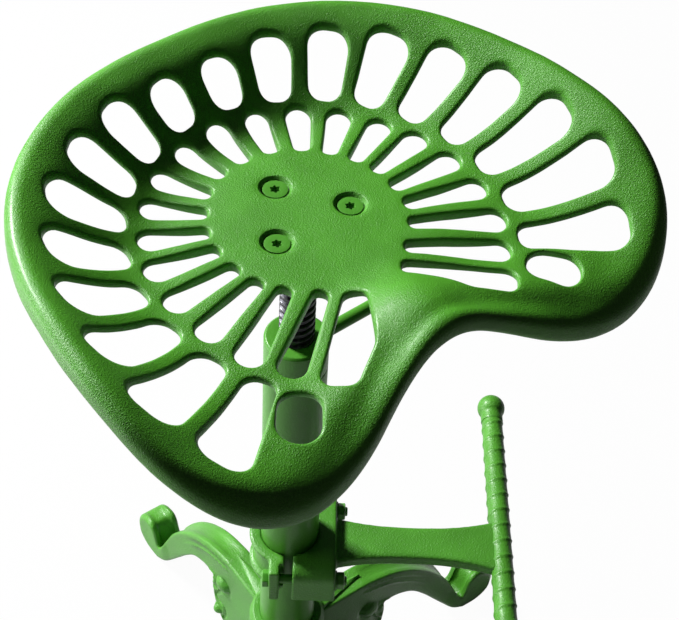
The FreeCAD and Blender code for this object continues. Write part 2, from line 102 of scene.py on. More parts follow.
# Inner end x, y, outer end x, y, inner width, outer width of each slot
INNER_SLOTS = (
    (35, -68, 94, -109, 10, 20),
    (52, -52, 111, -86, 10, 22),
    (62, -36, 121, -54, 11, 21),
    (66, -17.5, 124, -20.5, 11, 21),
    (66.5, 2, 119, 12, 10, 21.5),
    (62, 19.5, 106, 39.5, 10, 20),
    (52.5, 35.5, 87, 65.5, 10, 20),
    (39.5, 49.5, 63, 86, 10.5, 20),
    (21, 60, 33, 98.5, 10.5, 19),
    (0, 63, 0, 103.5, 11, 20.5),
)
OUTER_SLOTS = (
    (96, -123, 119, -152, 27, 29),
    (108, -102, 172, -143, 21, 36),
    (123, -71, 193, -101, 24, 37),
    (130, -36, 195, -53, 23, 35),
    (129, -2, 188, -4.5, 21, 36),
    (119, 30.5, 172.5, 40, 20.5, 35),
    (103, 58, 147.5, 80, 21, 35),
    (81.5, 79, 111, 111, 22, 33),
    (52, 96, 69.5, 130.5, 21, 34),
    (19, 106, 23.5, 135, 22, 31),
)

# Seat dish: what only the scene shapes. The pierced floor thins and thickens over shares of the radius
FLOOR_WALL = 5.8
FLOOR_THINS = (0.42, 0.60)
FLOOR_THICKENS = (0.90, 1.0)
SHOULDER = 12.8
# Corner radii as shares of the width: inner ends, far ends by ring, and of slots that hardly widen
SLOT_CORNER = 13.0
CLOSE_ROUND_SHARE = 0.46
INNER_ROUND_SHARE = 0.44
OUTER_ROUND_SHARE = 0.38
STUB_ROUND_SHARE = 0.47
STUB_FLARE = 1.1
SLOT_STEP_SHARE = 0.62
RIB_ROOM_SHARE = 0.40
EDGE_TURNS = [radians(a) for a in (20, 40, 62, 90)]
# Unevenness of the sand casting: size of a swell, share of the set depth, shift of the pattern
SEAT_WAVES = ((34.0, 1.0, 0.0), (9.0, 0.3, 5.0))

# Seat screws: x and y on their circle, recess as radius and depth, head as radius and height
SCREW_CIRCLE = 66.0
SCREW_COUNT = 3
SCREW_SPREAD = (1.10, 0.88)
SCREW_SINK = 1.9
RECESS_POINTS = 40
SCREW_RECESS = ((12.3, 0.0), (12.0, 0.12), (11.7, 0.4), (10.1, 2.2), (9.7, 2.9), (5.6, 6.2))
SCREW_HEAD = (
    (5.0, -16.0), (5.0, -4.4), (8.7, -0.55), (9.0, -0.25), (8.9, -0.06), (8.6, 0.0), (6.0, -0.02),
    (4.1, -0.02))
# Six-lobed socket: mean radius, height of a lobe, and rows of growth and height
SOCKET = (3.1, 0.55)
SOCKET_ROWS = ((0.35, -0.05), (0.0, -0.45), (0.0, -2.9), (-0.6, -3.1), (-2.0, -3.5))

# Column and screw, in millimetres
COLUMN_R = 24.5
COLUMN_BORE = 20.5
THREAD_DEPTH = 2.4
THREAD_GROOVE = (0.36, 0.50, 0.88, 1.0)
THREAD_FADE = 3.0
THREAD_ROWS = 12
RUNNING_GAP = 0.05
NUT_CHAMFER = (1.7, 1.6)

# Legs: side view as reach and height pairs, from the root round the crown, scroll, arch and drop
LEG_TURN = -3.0
LEG_WIDTH = 25.0
FOOT_WIDTH = 30.0
ROOT_TOP = 154.0
SCROLL_AT = (230.0, 24.0)
SCROLL_R = 24.0
LEG_ROOT = ((66, 32), (24.6, 32), (24.6, ROOT_TOP), (84, ROOT_TOP))
LEG_CROWN = (
    (84, ROOT_TOP), (114, 145), (140, 129), (165, 105), (186, 76), (199, 50), (206.5, 32), (213.5, 20))
LEG_LIP = ((213.5, 20), (217, 26), (219, 34), (221.5, 41.5), (225.5, 46.4), (230, 48))
LEG_FOOT = ((230, 0), (216, 0))
LEG_ARCH = ((216, 0), (203, 9), (190, 26), (175, 48), (160, 70), (143, 90), (124, 101), (108, 103))
LEG_DROP = ((108, 103), (109, 84), (104, 58), (90, 40), (66, 32))
# Rounded edge along the leg, and how much more it has on the scroll
LEG_EDGE = 2.3
SCROLL_EDGE = 2.4
LEG_TURNS = [radians(a) for a in (25, 50, 75, 90)]
# Channel along the crown: distance from the side and depth
CHANNEL = ((5.6, -0.25), (6.6, -0.9), (7.9, -1.6), (9.6, -2.0), (11.4, -2.15))
# Reach where the channel starts and deepens, its shares of depth, and the throat that it also follows
CHANNEL_STARTS = (78, 96)
CHANNEL_DEEPENS = (180, 215)
CHANNEL_SHARES = (0.65, 1.0)
CHANNEL_LEVEL = 20
THROAT = ((218, 32), 16)
# Ornament on the sides: place, radius and height of the eye and the ball, then the S-shaped groove
EYE = ((90.0, 106.0), 8.8, 4.6)
BALL = ((99.0, 54.0), 6.0, 4.8)
GROOVE_R = 11.8
GROOVE_TURN = (110, 285)
GROOVE_TAIL = ((98, 84), (103, 76.5), (102, 70), (96, 68.5), (89.5, 69), (86.5, 62), (88, 52), (94, 42))
GROOVE_DEPTH = 2.6
GROOVE_WIDTH = 1.7
# Beads beside the crown: distance from its edge and width, then height and the sink between them
BEADS = ((2.6, 1.2), (10.0, 1.3))
BEAD_HEIGHT = 1.3
BEAD_SINK = 0.6
# Reach between which the beads rise and fade
BEADS_RISE = (76, 88)
BEADS_FADE = (128, 170)
LEG_WAVE = (26.0, 0.22, 3.0)
# Collar ring as radius and height, its corner radii, and the tongues' reach, half width and height
COLLAR = ((24.6, ROOT_TOP), (34, ROOT_TOP), (34, 164), (31, 170), (24.6, 170))
COLLAR_ROUNDS = (0.5, 1.0, 2.5, 1.5, 0.5)
TONGUE = (28, 83, 12.0, 5.0)
# Section of a tongue as shares of its half width and height
TONGUE_SHAPE = np.array(((-1, 0), (-0.92, 0.55), (-0.55, 0.82), (0, 1), (0.55, 0.82), (0.92, 0.55), (1, 0)))

# Foot rest, in millimetres
ARM_TURN = Matrix.Rotation(radians(-39.5), 4, "Z")
ARM_LEVEL = 276.0
ARM_THICK = 12.5
ARM_WAIST = 32.0
ARM_FLARE = 54.0
ARM_HOLLOW = 2.4
ARM_EDGE = ((3.0, 0.0), (0.9, 0.9), (0.0, 3.0))
BAR_OUT = 183.0
BAR_HALF = 150.0
BAR_R = 9.35
RIB_HEIGHT = 0.8
# Section of the rib, a crest and a slope behind it: share of the height, place and width
RIB = ((1.0, 0.0, 1.5), (0.35, 3.2, 3.4))
BAR_NECK = ((-9, 9.9), (-7.5, 10.2), (-5, 10.0), (-3.4, 10.1))
BALL_OUT = 8.0
BALL_SWEEP = (0.92, pi - 0.06)
CLAMP_FOOT = 254.0
CLAMP_TOP = 292.0
CLAMP_BORE = COLUMN_R + 0.3
CLAMP_WALL = 5.5
CLAMP_RIM = 9.5
RIM_HEIGHT = 5.0
CLAMP_GAP = 4.0
EAR_OUT = 45.0
EAR_ROOT = 29.0
EAR_INNER = 7.5
EAR_OUTER = 16.0
CREST_ROUND = 12.0
BLOCK_FACE = 40.0
SKIN_GROWTH = 0.12
# Fasteners through the ears: where each starts and its rows along the bolt. A size up to 1 is a share
# of the hexagon, a greater one is a radius
BOLT_ASIDE = 36.0
HEX_FLATS = 13.0
HEX_CORNER = 1.125
FASTENERS = (
    ("clamp_hex_bolts", "clamp_bolts", -EAR_OUTER, (
        (-6.0, 0.72), (-5.95, 0.80), (-5.3, 1.0), (-0.4, 1.0), (0.0, 0.96), (0.0, 4.0), (65.3, 4.0),
        (66.0, 3.3))),
    ("clamp_hex_nuts", "clamp_nuts", BLOCK_FACE + 1.6, (
        (0.0, 0.92), (0.5, 1.0), (5.9, 1.0), (6.45, 0.84), (6.5, 0.7), (6.5, 4.1), (0.0, 4.1))),
    ("clamp_flat_washers", "clamp_washers", BLOCK_FACE, (
        (0.0, 4.3), (0.0, 8.2), (0.3, 8.5), (1.3, 8.5), (1.6, 8.2), (1.6, 4.3))),
)

# Enamels: depth of the grain in metres, roughness, scale of the grain and share of pale specks, painted
# glints
ENAMELS = {
    "seat enamel": (0.00046, 0.36, 950.0, 0.22),
    "frame enamel": (0.00016, 0.32, 620.0, 0.06),
    "cast frame enamel": (0.00042, 0.32, 620.0, 0.16),
}
# Metals: colour, colour of the worn edges and roughness
METALS = {
    "black steel": ((0.028, 0.028, 0.032), (0.20, 0.20, 0.215), 0.27),
    "zinc steel": ((0.52, 0.53, 0.55), (0.72, 0.72, 0.72), 0.28),
}
NYLON = (0.74, 0.72, 0.64)
SLOT_FINISHES = {
    "frame_paint": "frame enamel", "seat_paint": "seat enamel", "seat_screw_paint": "seat enamel",
    "black_steel": "black steel", "zinc_steel": "zinc steel", "guide_nylon": "guide nylon",
}

# Studio: where the softer light comes from, the lamps' places, targets and sizes, and the camera
LIGHT_SIDE = (-0.80, 0.45, 0.30)
KEY_LAMP = ((-0.45, 1.72, 1.76), (0, 0, 0.6), (0.45, 0.45))
SIDE_LAMP = ((-1.20, 0.95, 0.45), (0, 0, 0.4), (0.9, 0.8))
FLOOR_HALF = 6000
FLOOR_TONE = 0.50
CAMERA_AT = (-0.4832, -0.5933, 1.3759)
CAMERA_AZIMUTH, CAMERA_ELEVATION, CAMERA_ROLL = radians(-41.43), radians(46.53), radians(3.70)
CAMERA_SENSOR = 36.0
CAMERA_LENS = 81.5


def near(value, low, high):
    """Smooth step from 0 at the low value to 1 at the high one."""
    t = np.clip((np.asarray(value, float) - low) / (high - low), 0.0, 1.0)
    return t * t * (3 - 2 * t)


class Skin:
    """Points and faces of one piece while it is built."""

    def __init__(self):
        self.points = []
        self.faces = []

    def add(self, points):
        start = len(self.points)
        self.points.extend(tuple(float(c) for c in p) for p in points)
        return list(range(start, len(self.points)))

    def join(self, rings):
        """Faces from each ring of point numbers to the next."""
        for first, second in zip(rings, rings[1:]):
            for i in range(len(first)):
                j = (i + 1) % len(first)
                self.faces.append((first[i], first[j], second[j], second[i]))

    def tube(self, loops):
        """Closed solid through the loops, with a face at each end."""
        rings = [self.add(loop) for loop in loops]
        self.join(rings)
        self.faces += [tuple(rings[0]), tuple(rings[-1])]

    def hoop(self, loops):
        """Closed ring through the loops, the last one joined to the first."""
        rings = [self.add(loop) for loop in loops]
        self.join(rings + rings[:1])


def make_mesh(name, skin, matrix=None):
    """Mesh in metres from a skin, with its normals outward and its hard edges marked."""
    shape = bmesh.new()
    points = [shape.verts.new([c * MM for c in p]) for p in skin.points]
    for face in skin.faces:
        corners = [points[k] for k in dict.fromkeys(face)]
        if len(corners) > 2:
            shape.faces.new(corners)
    bmesh.ops.remove_doubles(shape, verts=shape.verts, dist=1e-6)
    bmesh.ops.recalc_face_normals(shape, faces=shape.faces)
    if matrix:
        shape.transform(matrix)
    mesh = bpy.data.meshes.new(name)
    shape.to_mesh(mesh)
    shape.free()
    mesh.polygons.foreach_set("use_smooth", [True] * len(mesh.polygons))
    mesh.set_sharp_from_angle(angle=SHARP_ANGLE)
    return mesh


def show(name, data):
    piece = bpy.data.objects.new(name, data)
    bpy.context.scene.collection.objects.link(piece)
    return piece


def place(name, shape, body, finish, slot, *nodes, matrix=None):
    """Shows a skin or mesh as one piece that rides on a body and stands for the named solids."""
    mesh = make_mesh(name, shape, matrix) if isinstance(shape, Skin) else shape
    piece = show(name, mesh)
    mesh.materials.clear()
    mesh.materials.append(finish)
    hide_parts(*nodes)
    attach(piece, body)


def span(node, axis=2):
    """Lowest and highest place of a solid along an axis, in millimetres."""
    low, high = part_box(node)
    return low[axis] / MM, high[axis] / MM


def circle(radius, count, level=0.0, centre=(0.0, 0.0)):
    """Ring of points about an upright axis."""
    a = np.arange(count) * tau / count
    return np.c_[centre[0] + radius * np.cos(a), centre[1] + radius * np.sin(a), np.full(count, level)]


def wheel(at, radius, count, level, aside=0.0, along_y=False):
    """Ring of points about a level axis along X or Y."""
    a = np.arange(count) * tau / count
    ring = np.c_[aside + radius * np.cos(a), np.full(count, at), level + radius * np.sin(a)]
    return ring if along_y else ring[:, [1, 0, 2]]


def corner_loop(corners, radii, step):
    """Counter-clockwise loop through rounded corners, its points about a step apart."""
    corners = [np.array(c, float) for c in corners]
    line = []
    for i, (here, radius) in enumerate(zip(corners, radii)):
        back = corners[i - 1] - here
        ahead = corners[(i + 1) % len(corners)] - here
        back /= np.linalg.norm(back)
        ahead /= np.linalg.norm(ahead)
        half = np.arccos(np.clip(back @ ahead, -1, 1)) / 2
        middle = (back + ahead) / np.linalg.norm(back + ahead)
        centre = here + middle * radius / sin(half)
        u = here + back * radius / np.tan(half) - centre
        v = here + ahead * radius / np.tan(half) - centre
        steps = max(4, ceil((pi - 2 * half) * radius / step))
        sweep = np.arccos(np.clip(u @ v / (radius * radius), -1, 1))
        for t in np.arange(steps + 1) / steps:
            line.append(centre + (u * sin((1 - t) * sweep) + v * sin(t * sweep)) / sin(sweep))
    loop = []
    for a, b in zip(line, line[1:] + line[:1]):
        length = np.linalg.norm(b - a)
        if length > 1e-6:
            parts = max(1, round(length / step))
            loop += [a + (b - a) * k / parts for k in range(parts)]
    loop = np.array(loop)
    x, y = loop.T
    area = (x * np.roll(y, -1) - np.roll(x, -1) * y).sum()
    return loop if area > 0 else loop[::-1]


def outward(loop):
    """Unit normals of a counter-clockwise loop."""
    along = np.roll(loop, -1, 0) - np.roll(loop, 1, 0)
    along /= np.linalg.norm(along, axis=1)[:, None]
    return np.c_[along[:, 1], -along[:, 0]]


def run_along(points):
    """Distance along a line to each of its points."""
    return np.r_[0, np.cumsum(np.linalg.norm(np.diff(points, axis=0), axis=1))]


def even_line(points, step):
    """Smooth line through the points, resampled at an even step."""
    points = np.array(points, float)
    ends = np.vstack([2 * points[0] - points[1], points, 2 * points[-1] - points[-2]])
    fine = [
        0.5 * (2 * b + (c - a) * t + (2 * a - 5 * b + 4 * c - d) * t * t + (3 * b - a - 3 * c + d) * t ** 3)
        for a, b, c, d in zip(ends, ends[1:], ends[2:], ends[3:])
        for t in np.linspace(0, 1, 12, endpoint=False)
    ]
    fine = np.array(fine + [ends[-2]])
    run = run_along(fine)
    at = np.linspace(0, run[-1], max(2, round(run[-1] / step)) + 1)
    return np.c_[np.interp(at, run, fine[:, 0]), np.interp(at, run, fine[:, 1])]


def eased(values):
    """Values round a loop, each drawn halfway to the mean of its neighbours."""
    return (np.roll(values, 1, 0) + 2 * values + np.roll(values, -1, 0)) / 4


def points_to_loop(points, loop):
    """Distance from each point to the nearest point of a loop."""
    return np.hypot(*(points[:, None] - loop).T).min(axis=0)


def inside(points, loops):
    """Which points have an odd number of loop edges on their right."""
    odd = np.zeros(len(points), bool)
    x, y = points.T
    for loop in loops:
        low, high = loop.min(0), loop.max(0)
        close = np.nonzero((y > low[1]) & (y < high[1]) & (x < high[0]))[0]
        px, py = x[close, None], y[close, None]
        ax, ay = loop.T
        bx, by = np.roll(loop, -1, 0).T
        rise = np.where(by == ay, 1.0, by - ay)
        cuts = ((ay > py) != (by > py)) & (px < ax + (py - ay) * (bx - ax) / rise)
        odd[close] ^= cuts.sum(1) % 2 == 1
    return odd


def fill(loops, step):
    """Even triangles between closed loops: the points, loops first, and the triangles."""
    rim = np.vstack(loops)
    tree = KDTree(len(rim))
    for i, (x, y) in enumerate(rim):
        tree.insert((x, y, 0), i)
    tree.balance()
    low, high = rim.min(0), rim.max(0)
    rows = int((high[1] - low[1]) / (step * 0.866)) + 1
    columns = int((high[0] - low[0]) / step) + 2
    grid = np.array([
        (low[0] + (i + 0.5 * (j % 2)) * step, low[1] + (j + 0.37) * step * 0.866)
        for j in range(rows) for i in range(columns)
    ])
    grid = grid[inside(grid, loops)]
    grid = np.array([p for p in grid if tree.find((p[0], p[1], 0))[2] > 0.6 * step]).reshape(-1, 2)
    points = np.vstack([rim, grid])
    edges = []
    start = 0
    for loop in loops:
        count = len(loop)
        edges += [(start + i, start + (i + 1) % count) for i in range(count)]
        start += count
    _, _, faces, origins, _, _ = delaunay_2d_cdt([Vector(p) for p in points], edges, [], 0, 1e-6)
    triangles = np.array([[origins[k][0] for k in face] for face in faces])
    return points, triangles[inside(points[triangles].mean(1), loops)]


def wavy(points, size, amount, shift=0.0):
    """The points moved a little, as the skin of a sand casting is."""
    noise.seed_set(NOISE_SEED)
    aside = Vector((shift, shift * 0.7, -shift))
    return [tuple(Vector(p) + amount * noise.noise_vector(Vector(p) / size + aside)) for p in points]


# Seat dish

def plan_values(degrees):
    """Smooth values of all plan columns at an angle, mirrored left to right."""
    angle = abs((degrees + 180.0) % 360.0 - 180.0)
    table = np.array([PLAN[1], *PLAN, PLAN[-2]], float)
    table[0, 0] *= -1
    table[-1, 0] = 360 - table[-1, 0]
    i = 1
    while i < len(table) - 3 and angle > table[i + 1, 0]:
        i += 1
    a0, a1, a2, a3 = table[i - 1:i + 3, 0]
    v0, v1, v2, v3 = table[i - 1:i + 3, 1:]
    t = (angle - a1) / (a2 - a1)
    slope1 = (v2 - v0) / (a2 - a0) * (a2 - a1)
    slope2 = (v3 - v1) / (a3 - a1) * (a2 - a1)
    return (v1 * (1 + 2 * t) * (1 - t) ** 2 + v2 * t * t * (3 - 2 * t)
            + slope1 * t * (1 - t) ** 2 - slope2 * t * t * (1 - t))


def seat_section(degrees):
    """Closed section of the dish at one angle, as radius and height pairs."""
    reach, crest, start, end, dip, ridge, drop = plan_values(degrees)
    whole = near(1.0 - 1.1 * LIP_ROUND / reach, start, end)
    ridge_start, ridge_top, ridge_end = RIDGE_SHARES
    line = [(HUB_SHARE * reach, 0.0), ((HUB_SHARE + 0.03) * reach, 0.0)]
    for share in SECTION_SHARES:
        rise = (crest + dip) * min(near(share, start, end) / whole, 1.0)
        fall = dip * near(share, *DIP_SHARES)
        hump = near(share, ridge_start, ridge_top) * (1 - near(share, ridge_top, ridge_end))
        line.append((share * reach, rise - fall + ridge * hump))
    falling = near(FALL_BELOW - crest, 0, FALL_SPAN)
    for back, more, up in LIP_SHAPE:
        line.append((reach - back * LIP_ROUND, crest + (more * falling + up) * LIP_ROUND))
    line += [(reach, crest - LIP_ROUND), (reach, crest - drop)]
    upper = np.array(line, float)
    along = np.vstack([upper[1:], upper[-1:]]) - np.vstack([upper[:1], upper[:-1]])
    along /= np.linalg.norm(along, axis=1)[:, None]
    lower = upper + np.c_[along[:, 1], -along[:, 0]] * WALL
    return np.vstack([upper, lower[::-1]])


def spline_weights(count, places):
    """Weights of a clamped even cubic spline with that many control points."""
    knots = np.r_[[0.0] * 3, np.linspace(0, 1, count - 2), [1.0] * 3]
    x = places[:, None]
    weights = ((x >= knots[:-1]) & (x < knots[1:])).astype(float)
    weights[places >= 1, count - 1] = 1.0
    for degree in (1, 2, 3):
        n = len(knots) - 1 - degree
        a, b = knots[:n], knots[degree:degree + n]
        c, e = knots[1:1 + n], knots[degree + 1:degree + 1 + n]
        left = np.where(b > a, (x - a) / np.where(b > a, b - a, 1), 0)
        right = np.where(e > c, (e - x) / np.where(e > c, e - c, 1), 0)
        weights = left * weights[:, :n] + right * weights[:, 1:n + 1]
    return weights


class Dish:
    """The seat's skin as tables over angle and radius share, sampled from its control net."""

    ANGLES = 360
    SAMPLES = 480
    SHARES = 170

    def __init__(self):
        step = 360.0 / COLUMNS_ROUND
        net = np.array([seat_section(180 + (k + 0.5) * step) for k in range(COLUMNS_ROUND)])
        weights = spline_weights(net.shape[1], np.linspace(0, 1, self.SAMPLES))
        self.curves = []
        for a in range(self.ANGLES):
            at = (a * 360.0 / self.ANGLES - 180.0) / step - 0.5
            i = int(np.floor(at))
            t = at - i
            blend = ((1 - t) ** 3, 3 * t ** 3 - 6 * t * t + 4, -3 * t ** 3 + 3 * t * t + 3 * t + 1, t ** 3)
            section = 0
            for j, w in enumerate(blend):
                row = net[(i - 1 + j) % COLUMNS_ROUND].copy()
                row[:, 0] *= cos(radians((j - 1 - t) * step))
                section = section + row * w / 6
            self.curves.append(weights @ section)
        self.shoulder = np.array([c[:, 0].max() for c in self.curves]) - SHOULDER
        shares = np.linspace(0, 1, self.SHARES)
        self.tables = {}
        for side, way in (("top", 1), ("low", -1)):
            rows = []
            for curve, limit in zip(self.curves, self.shoulder):
                r, z = curve[::way].T
                end = int(np.argmax(r > limit)) + 1
                rows.append(np.interp(shares * limit, r[:end], z[:end]))
            self.tables[side] = np.array(rows)

    def level(self, points, side):
        """Height of the upper or lower face at points in plan."""
        x, y = points[:, 0], points[:, 1] - POLAR_Y
        angle = (np.degrees(np.arctan2(x, y)) % 360.0) * self.ANGLES / 360.0
        a = np.floor(angle).astype(int) % self.ANGLES
        b = (a + 1) % self.ANGLES
        t = angle - np.floor(angle)
        whole = np.hypot(x, y) / (self.shoulder[a] * (1 - t) + self.shoulder[b] * t)
        share = np.clip(whole, 0, 1) * (self.SHARES - 1)
        k = np.minimum(share.astype(int), self.SHARES - 2)
        s = share - k

        def lookup(table):
            first = table[a, k] * (1 - s) + table[a, k + 1] * s
            second = table[b, k] * (1 - s) + table[b, k + 1] * s
            return SEAT_TOP + first * (1 - t) + second * t

        top = lookup(self.tables["top"])
        if side == "top":
            return top
        floor = WALL + (FLOOR_WALL - WALL) * near(whole, *FLOOR_THINS)
        return top - floor + (lookup(self.tables["low"]) - top + floor) * near(whole, *FLOOR_THICKENS)

    def ring(self):
        """Shoulder line in plan, where the pierced floor meets the rolled lip."""
        a = np.radians(np.arange(self.ANGLES) * 360.0 / self.ANGLES)
        return np.c_[self.shoulder * np.sin(a), POLAR_Y + self.shoulder * np.cos(a)]

    def lip_rows(self, count):
        """Rows of points round the lip, from the upper shoulder line over the edge to the lower one."""
        columns = []
        for k, (curve, limit) in enumerate(zip(self.curves, self.shoulder)):
            beyond = np.nonzero(curve[:, 0] > limit)[0]
            part = curve[beyond[0] - 1:beyond[-1] + 2]
            run = run_along(part)
            at = np.linspace(0, run[-1], count + 2)
            r = np.interp(at, run, part[:, 0])
            z = np.interp(at, run, part[:, 1])
            angle = radians(k * 360.0 / self.ANGLES)
            columns.append(np.c_[r * sin(angle), POLAR_Y + r * cos(angle), SEAT_TOP + z])
        return np.array(columns).transpose(1, 0, 2)[1:-1]


def slot_loops(step):
    """Outlines of all the slots, in plan."""
    loops = []
    for side in (1, -1):
        corners = [(side * x, y) for x, y, _ in POMMEL_SLOT]
        loops.append(corner_loop(corners, [radius for _, _, radius in POMMEL_SLOT], step))
    for table, share in ((INNER_SLOTS, INNER_ROUND_SHARE), (OUTER_SLOTS, OUTER_ROUND_SHARE)):
        for x0, y0, x1, y1, inner_width, outer_width in table:
            for side in (1, -1) if x0 else (1,):
                start = np.array([side * x0, y0], float)
                end = np.array([side * x1, y1], float)
                along = (end - start) / np.linalg.norm(end - start)
                across = np.array([-along[1], along[0]])
                corners = [
                    start - across * inner_width / 2,
                    end - across * outer_width / 2,
                    end + across * outer_width / 2,
                    start + across * inner_width / 2,
                ]
                stub = outer_width < STUB_FLARE * inner_width
                far = STUB_ROUND_SHARE * outer_width if stub else min(share * outer_width, SLOT_CORNER)
                close = CLOSE_ROUND_SHARE * inner_width
                loops.append(corner_loop(corners, [close, far, far, close], step))
    return loops


def edge_rooms(slots, ring):
    """Room for the rounded edge at each point of the slots, less where a rib is narrow."""
    rooms = []
    for k, loop in enumerate(slots):
        others = np.vstack([ring] + slots[:k] + slots[k + 1:])
        room = RIB_ROOM_SHARE * points_to_loop(loop, others)
        for _ in range(3):
            room = np.minimum(room, (np.roll(room, 1) + np.roll(room, -1)) / 2)
        rooms.append(room[:, None])
    return rooms


def screw_places():
    """Centres of the seat screws, at their places in the photographed casting."""
    wide, hollow_shade_color = SCREW_SPREAD
    turns = [radians(90 + 360.0 * k / SCREW_COUNT) for k in range(SCREW_COUNT)]
    return [(SCREW_CIRCLE / 2 * cos(a) * wide, SCREW_CIRCLE / 2 * sin(a) * hollow_shade_color) for a in turns]


def seat_pan(seat, finish):
    """Pierced pan: upper and lower floor, rounded slot edges, screw recesses and the rolled lip."""
    dish = Dish()
    skin = Skin()
    slots = slot_loops(seat.mesh_step * SLOT_STEP_SHARE)
    ring = dish.ring()
    rooms = edge_rooms(slots, ring)
    faces = {
        "top": (seat.edge_round, -1, SCREW_RECESS[0][0], EDGE_TURNS),
        "low": (seat.under_round, 1, SCREW_RECESS[-1][0], EDGE_TURNS[::-1]),
    }
    sides = {}
    for side, (limit, _, bore, _) in faces.items():
        loops = [ring]
        loops += [loop + outward(loop) * np.minimum(room, limit) for loop, room in zip(slots, rooms)]
        loops += [circle(bore, RECESS_POINTS, 0, at)[:, :2] for at in screw_places()]
        points, triangles = fill(loops, seat.mesh_step)
        numbers = skin.add(np.c_[points, dish.level(points, side)])
        skin.faces += [tuple(numbers[k] for k in triangle) for triangle in triangles]
        starts = np.r_[0, np.cumsum([len(loop) for loop in loops])]
        sides[side] = [numbers[a:b] for a, b in zip(starts, starts[1:])]
    for k, (loop, room) in enumerate(zip(slots, rooms), 1):
        rings = [sides["top"][k]]
        for side, (limit, way, _, turns) in faces.items():
            edge = np.minimum(room, limit)
            for a in turns:
                at = loop + outward(loop) * edge * (1 - sin(a))
                rings.append(skin.add(np.c_[at, dish.level(at, side) + way * edge[:, 0] * (1 - cos(a))]))
        skin.join(rings + [sides["low"][k]])
    for k, centre in enumerate(screw_places(), 1 + len(slots)):
        recess = [skin.add(circle(r, RECESS_POINTS, SEAT_TOP - z, centre)) for r, z in SCREW_RECESS[1:]]
        skin.join([sides["top"][k], *recess, sides["low"][k]])
    rows = [skin.add(row) for row in dish.lip_rows(seat.lip_rows)]
    skin.join([sides["top"][0], *rows, sides["low"][0]])
    for size, share, shift in SEAT_WAVES:
        skin.points = wavy(skin.points, size, seat.wave * share, shift)
    place("cast_seat", skin, "seat", finish, "seat_paint", "seat_pan")


def seat_screws(finish):
    """Countersunk screws with a six-lobed socket."""
    skin = Skin()
    top = SEAT_TOP - SCREW_SINK
    count = 36
    middle, lobe = SOCKET
    socket = middle + lobe * np.cos(6 * np.arange(count) * tau / count)
    for centre in screw_places():
        loops = [circle(r, count, top + z, centre) for r, z in SCREW_HEAD]
        loops += [circle(socket + grow, count, top + z, centre) for grow, z in SOCKET_ROWS]
        skin.tube(loops)
    place("seat_screw_heads", skin, "seat", finish, "seat_screw_paint", "seat_screws")


# Column and screw

def lathe(profile, radii, step, count=96):
    """Ring turned from a closed profile of radius and height with rounded corners."""
    skin = Skin()
    skin.hoop([circle(r, count, z) for r, z in corner_loop(profile, radii, step)])
    return skin


def spindle(screw, finish):
    """Threaded rod with a rounded square thread."""
    foot, head = span("spindle")
    left, right = span("spindle", 0)
    core = (right - left) / 2 - THREAD_DEPTH
    lead = screw.lead / MM
    around = 56
    turned = np.arange(around) / around
    opens, opened, closes, closed = THREAD_GROOVE
    loops = [circle(core, around, foot)]
    for z in np.arange(foot, head + 0.01, lead / THREAD_ROWS):
        turn = (z / lead - turned) % 1.0
        groove = near(turn, opens, opened) * (1 - near(turn, closes, closed))
        end = near(z, foot, foot + THREAD_FADE) * (1 - near(z, head - THREAD_FADE, head))
        loops.append(circle(core + THREAD_DEPTH * (1 - groove) * end, around, z))
    skin = Skin()
    skin.tube(loops)
    place("threaded_spindle", skin, "seat", finish, "black_steel", "spindle")


def column_pieces(paint):
    """Column tube, lock nut and its round lever."""
    foot, head = span("column_tube")
    tube = lathe([(COLUMN_BORE, foot), (COLUMN_R, foot), (COLUMN_R, head), (COLUMN_BORE, head)],
                 (0.6, 0.8, 1.2, 0.6), 12)
    place("column", tube, "base", paint, "frame_paint", "column_tube")
    foot, head = span("lock_nut")
    hole = span("spindle", 0)[1] + RUNNING_GAP
    across, down = NUT_CHAMFER
    edge = [(COLUMN_R, foot), (COLUMN_R, head - down), (COLUMN_R - across, head)]
    profile = [(hole, foot), *edge, (hole, head)]
    nut = lathe(profile, (0.6, 0.8, 1.0, 1.2, 0.5), 6)
    place("lock_nut_cap", nut, "lock", paint, "frame_paint", "lock_nut")
    low, high = span("lock_lever")
    start, end = span("lock_lever", 0)
    radius = (high - low) / 2
    rod = [(start, radius), (COLUMN_R + 0.2, radius)]
    rod += [(x, radius) for x in np.linspace(COLUMN_R + 4, end - radius, 9)]
    rod += [(end - radius + radius * sin(t), radius * cos(t)) for t in np.linspace(0.2, 1.45, 8)]
    skin = Skin()
    skin.tube([wheel(x, r, 40, (low + high) / 2) for x, r in rod])
    place("lever_rod", skin, "lock", paint, "frame_paint", "lock_lever")


# Legs

def leg_outline(step):
    """Side view of one leg, counter-clockwise, as reach and height pairs."""
    a = np.radians(np.linspace(90, -90, round(pi * SCROLL_R / step)))
    curl = np.array(SCROLL_AT) + SCROLL_R * np.c_[np.cos(a), np.sin(a)]
    lines = [even_line(pair, step) for pair in zip(LEG_ROOT, LEG_ROOT[1:])]
    lines += [even_line(LEG_CROWN, step), even_line(LEG_LIP, step), curl]
    lines += [even_line(line, step) for line in (LEG_FOOT, LEG_ARCH, LEG_DROP)]
    loop = np.vstack([line[1:] for line in lines])[::-1]
    for _ in range(3):
        hold = near(loop[:, 0], 0, 1) * (loop[:, 1] > 0.5)
        loop = loop + (eased(loop) - loop) * hold[:, None]
    return loop


def groove_line():
    """Line of the S-shaped groove, round the eye of the leg and down past the ball."""
    a = np.radians(np.linspace(*GROOVE_TURN, 14))
    ring = np.array(EYE[0]) + GROOVE_R * np.c_[np.cos(a), np.sin(a)]
    return np.vstack([ring, even_line([ring[-1], *GROOVE_TAIL], 2.0)[1:]])


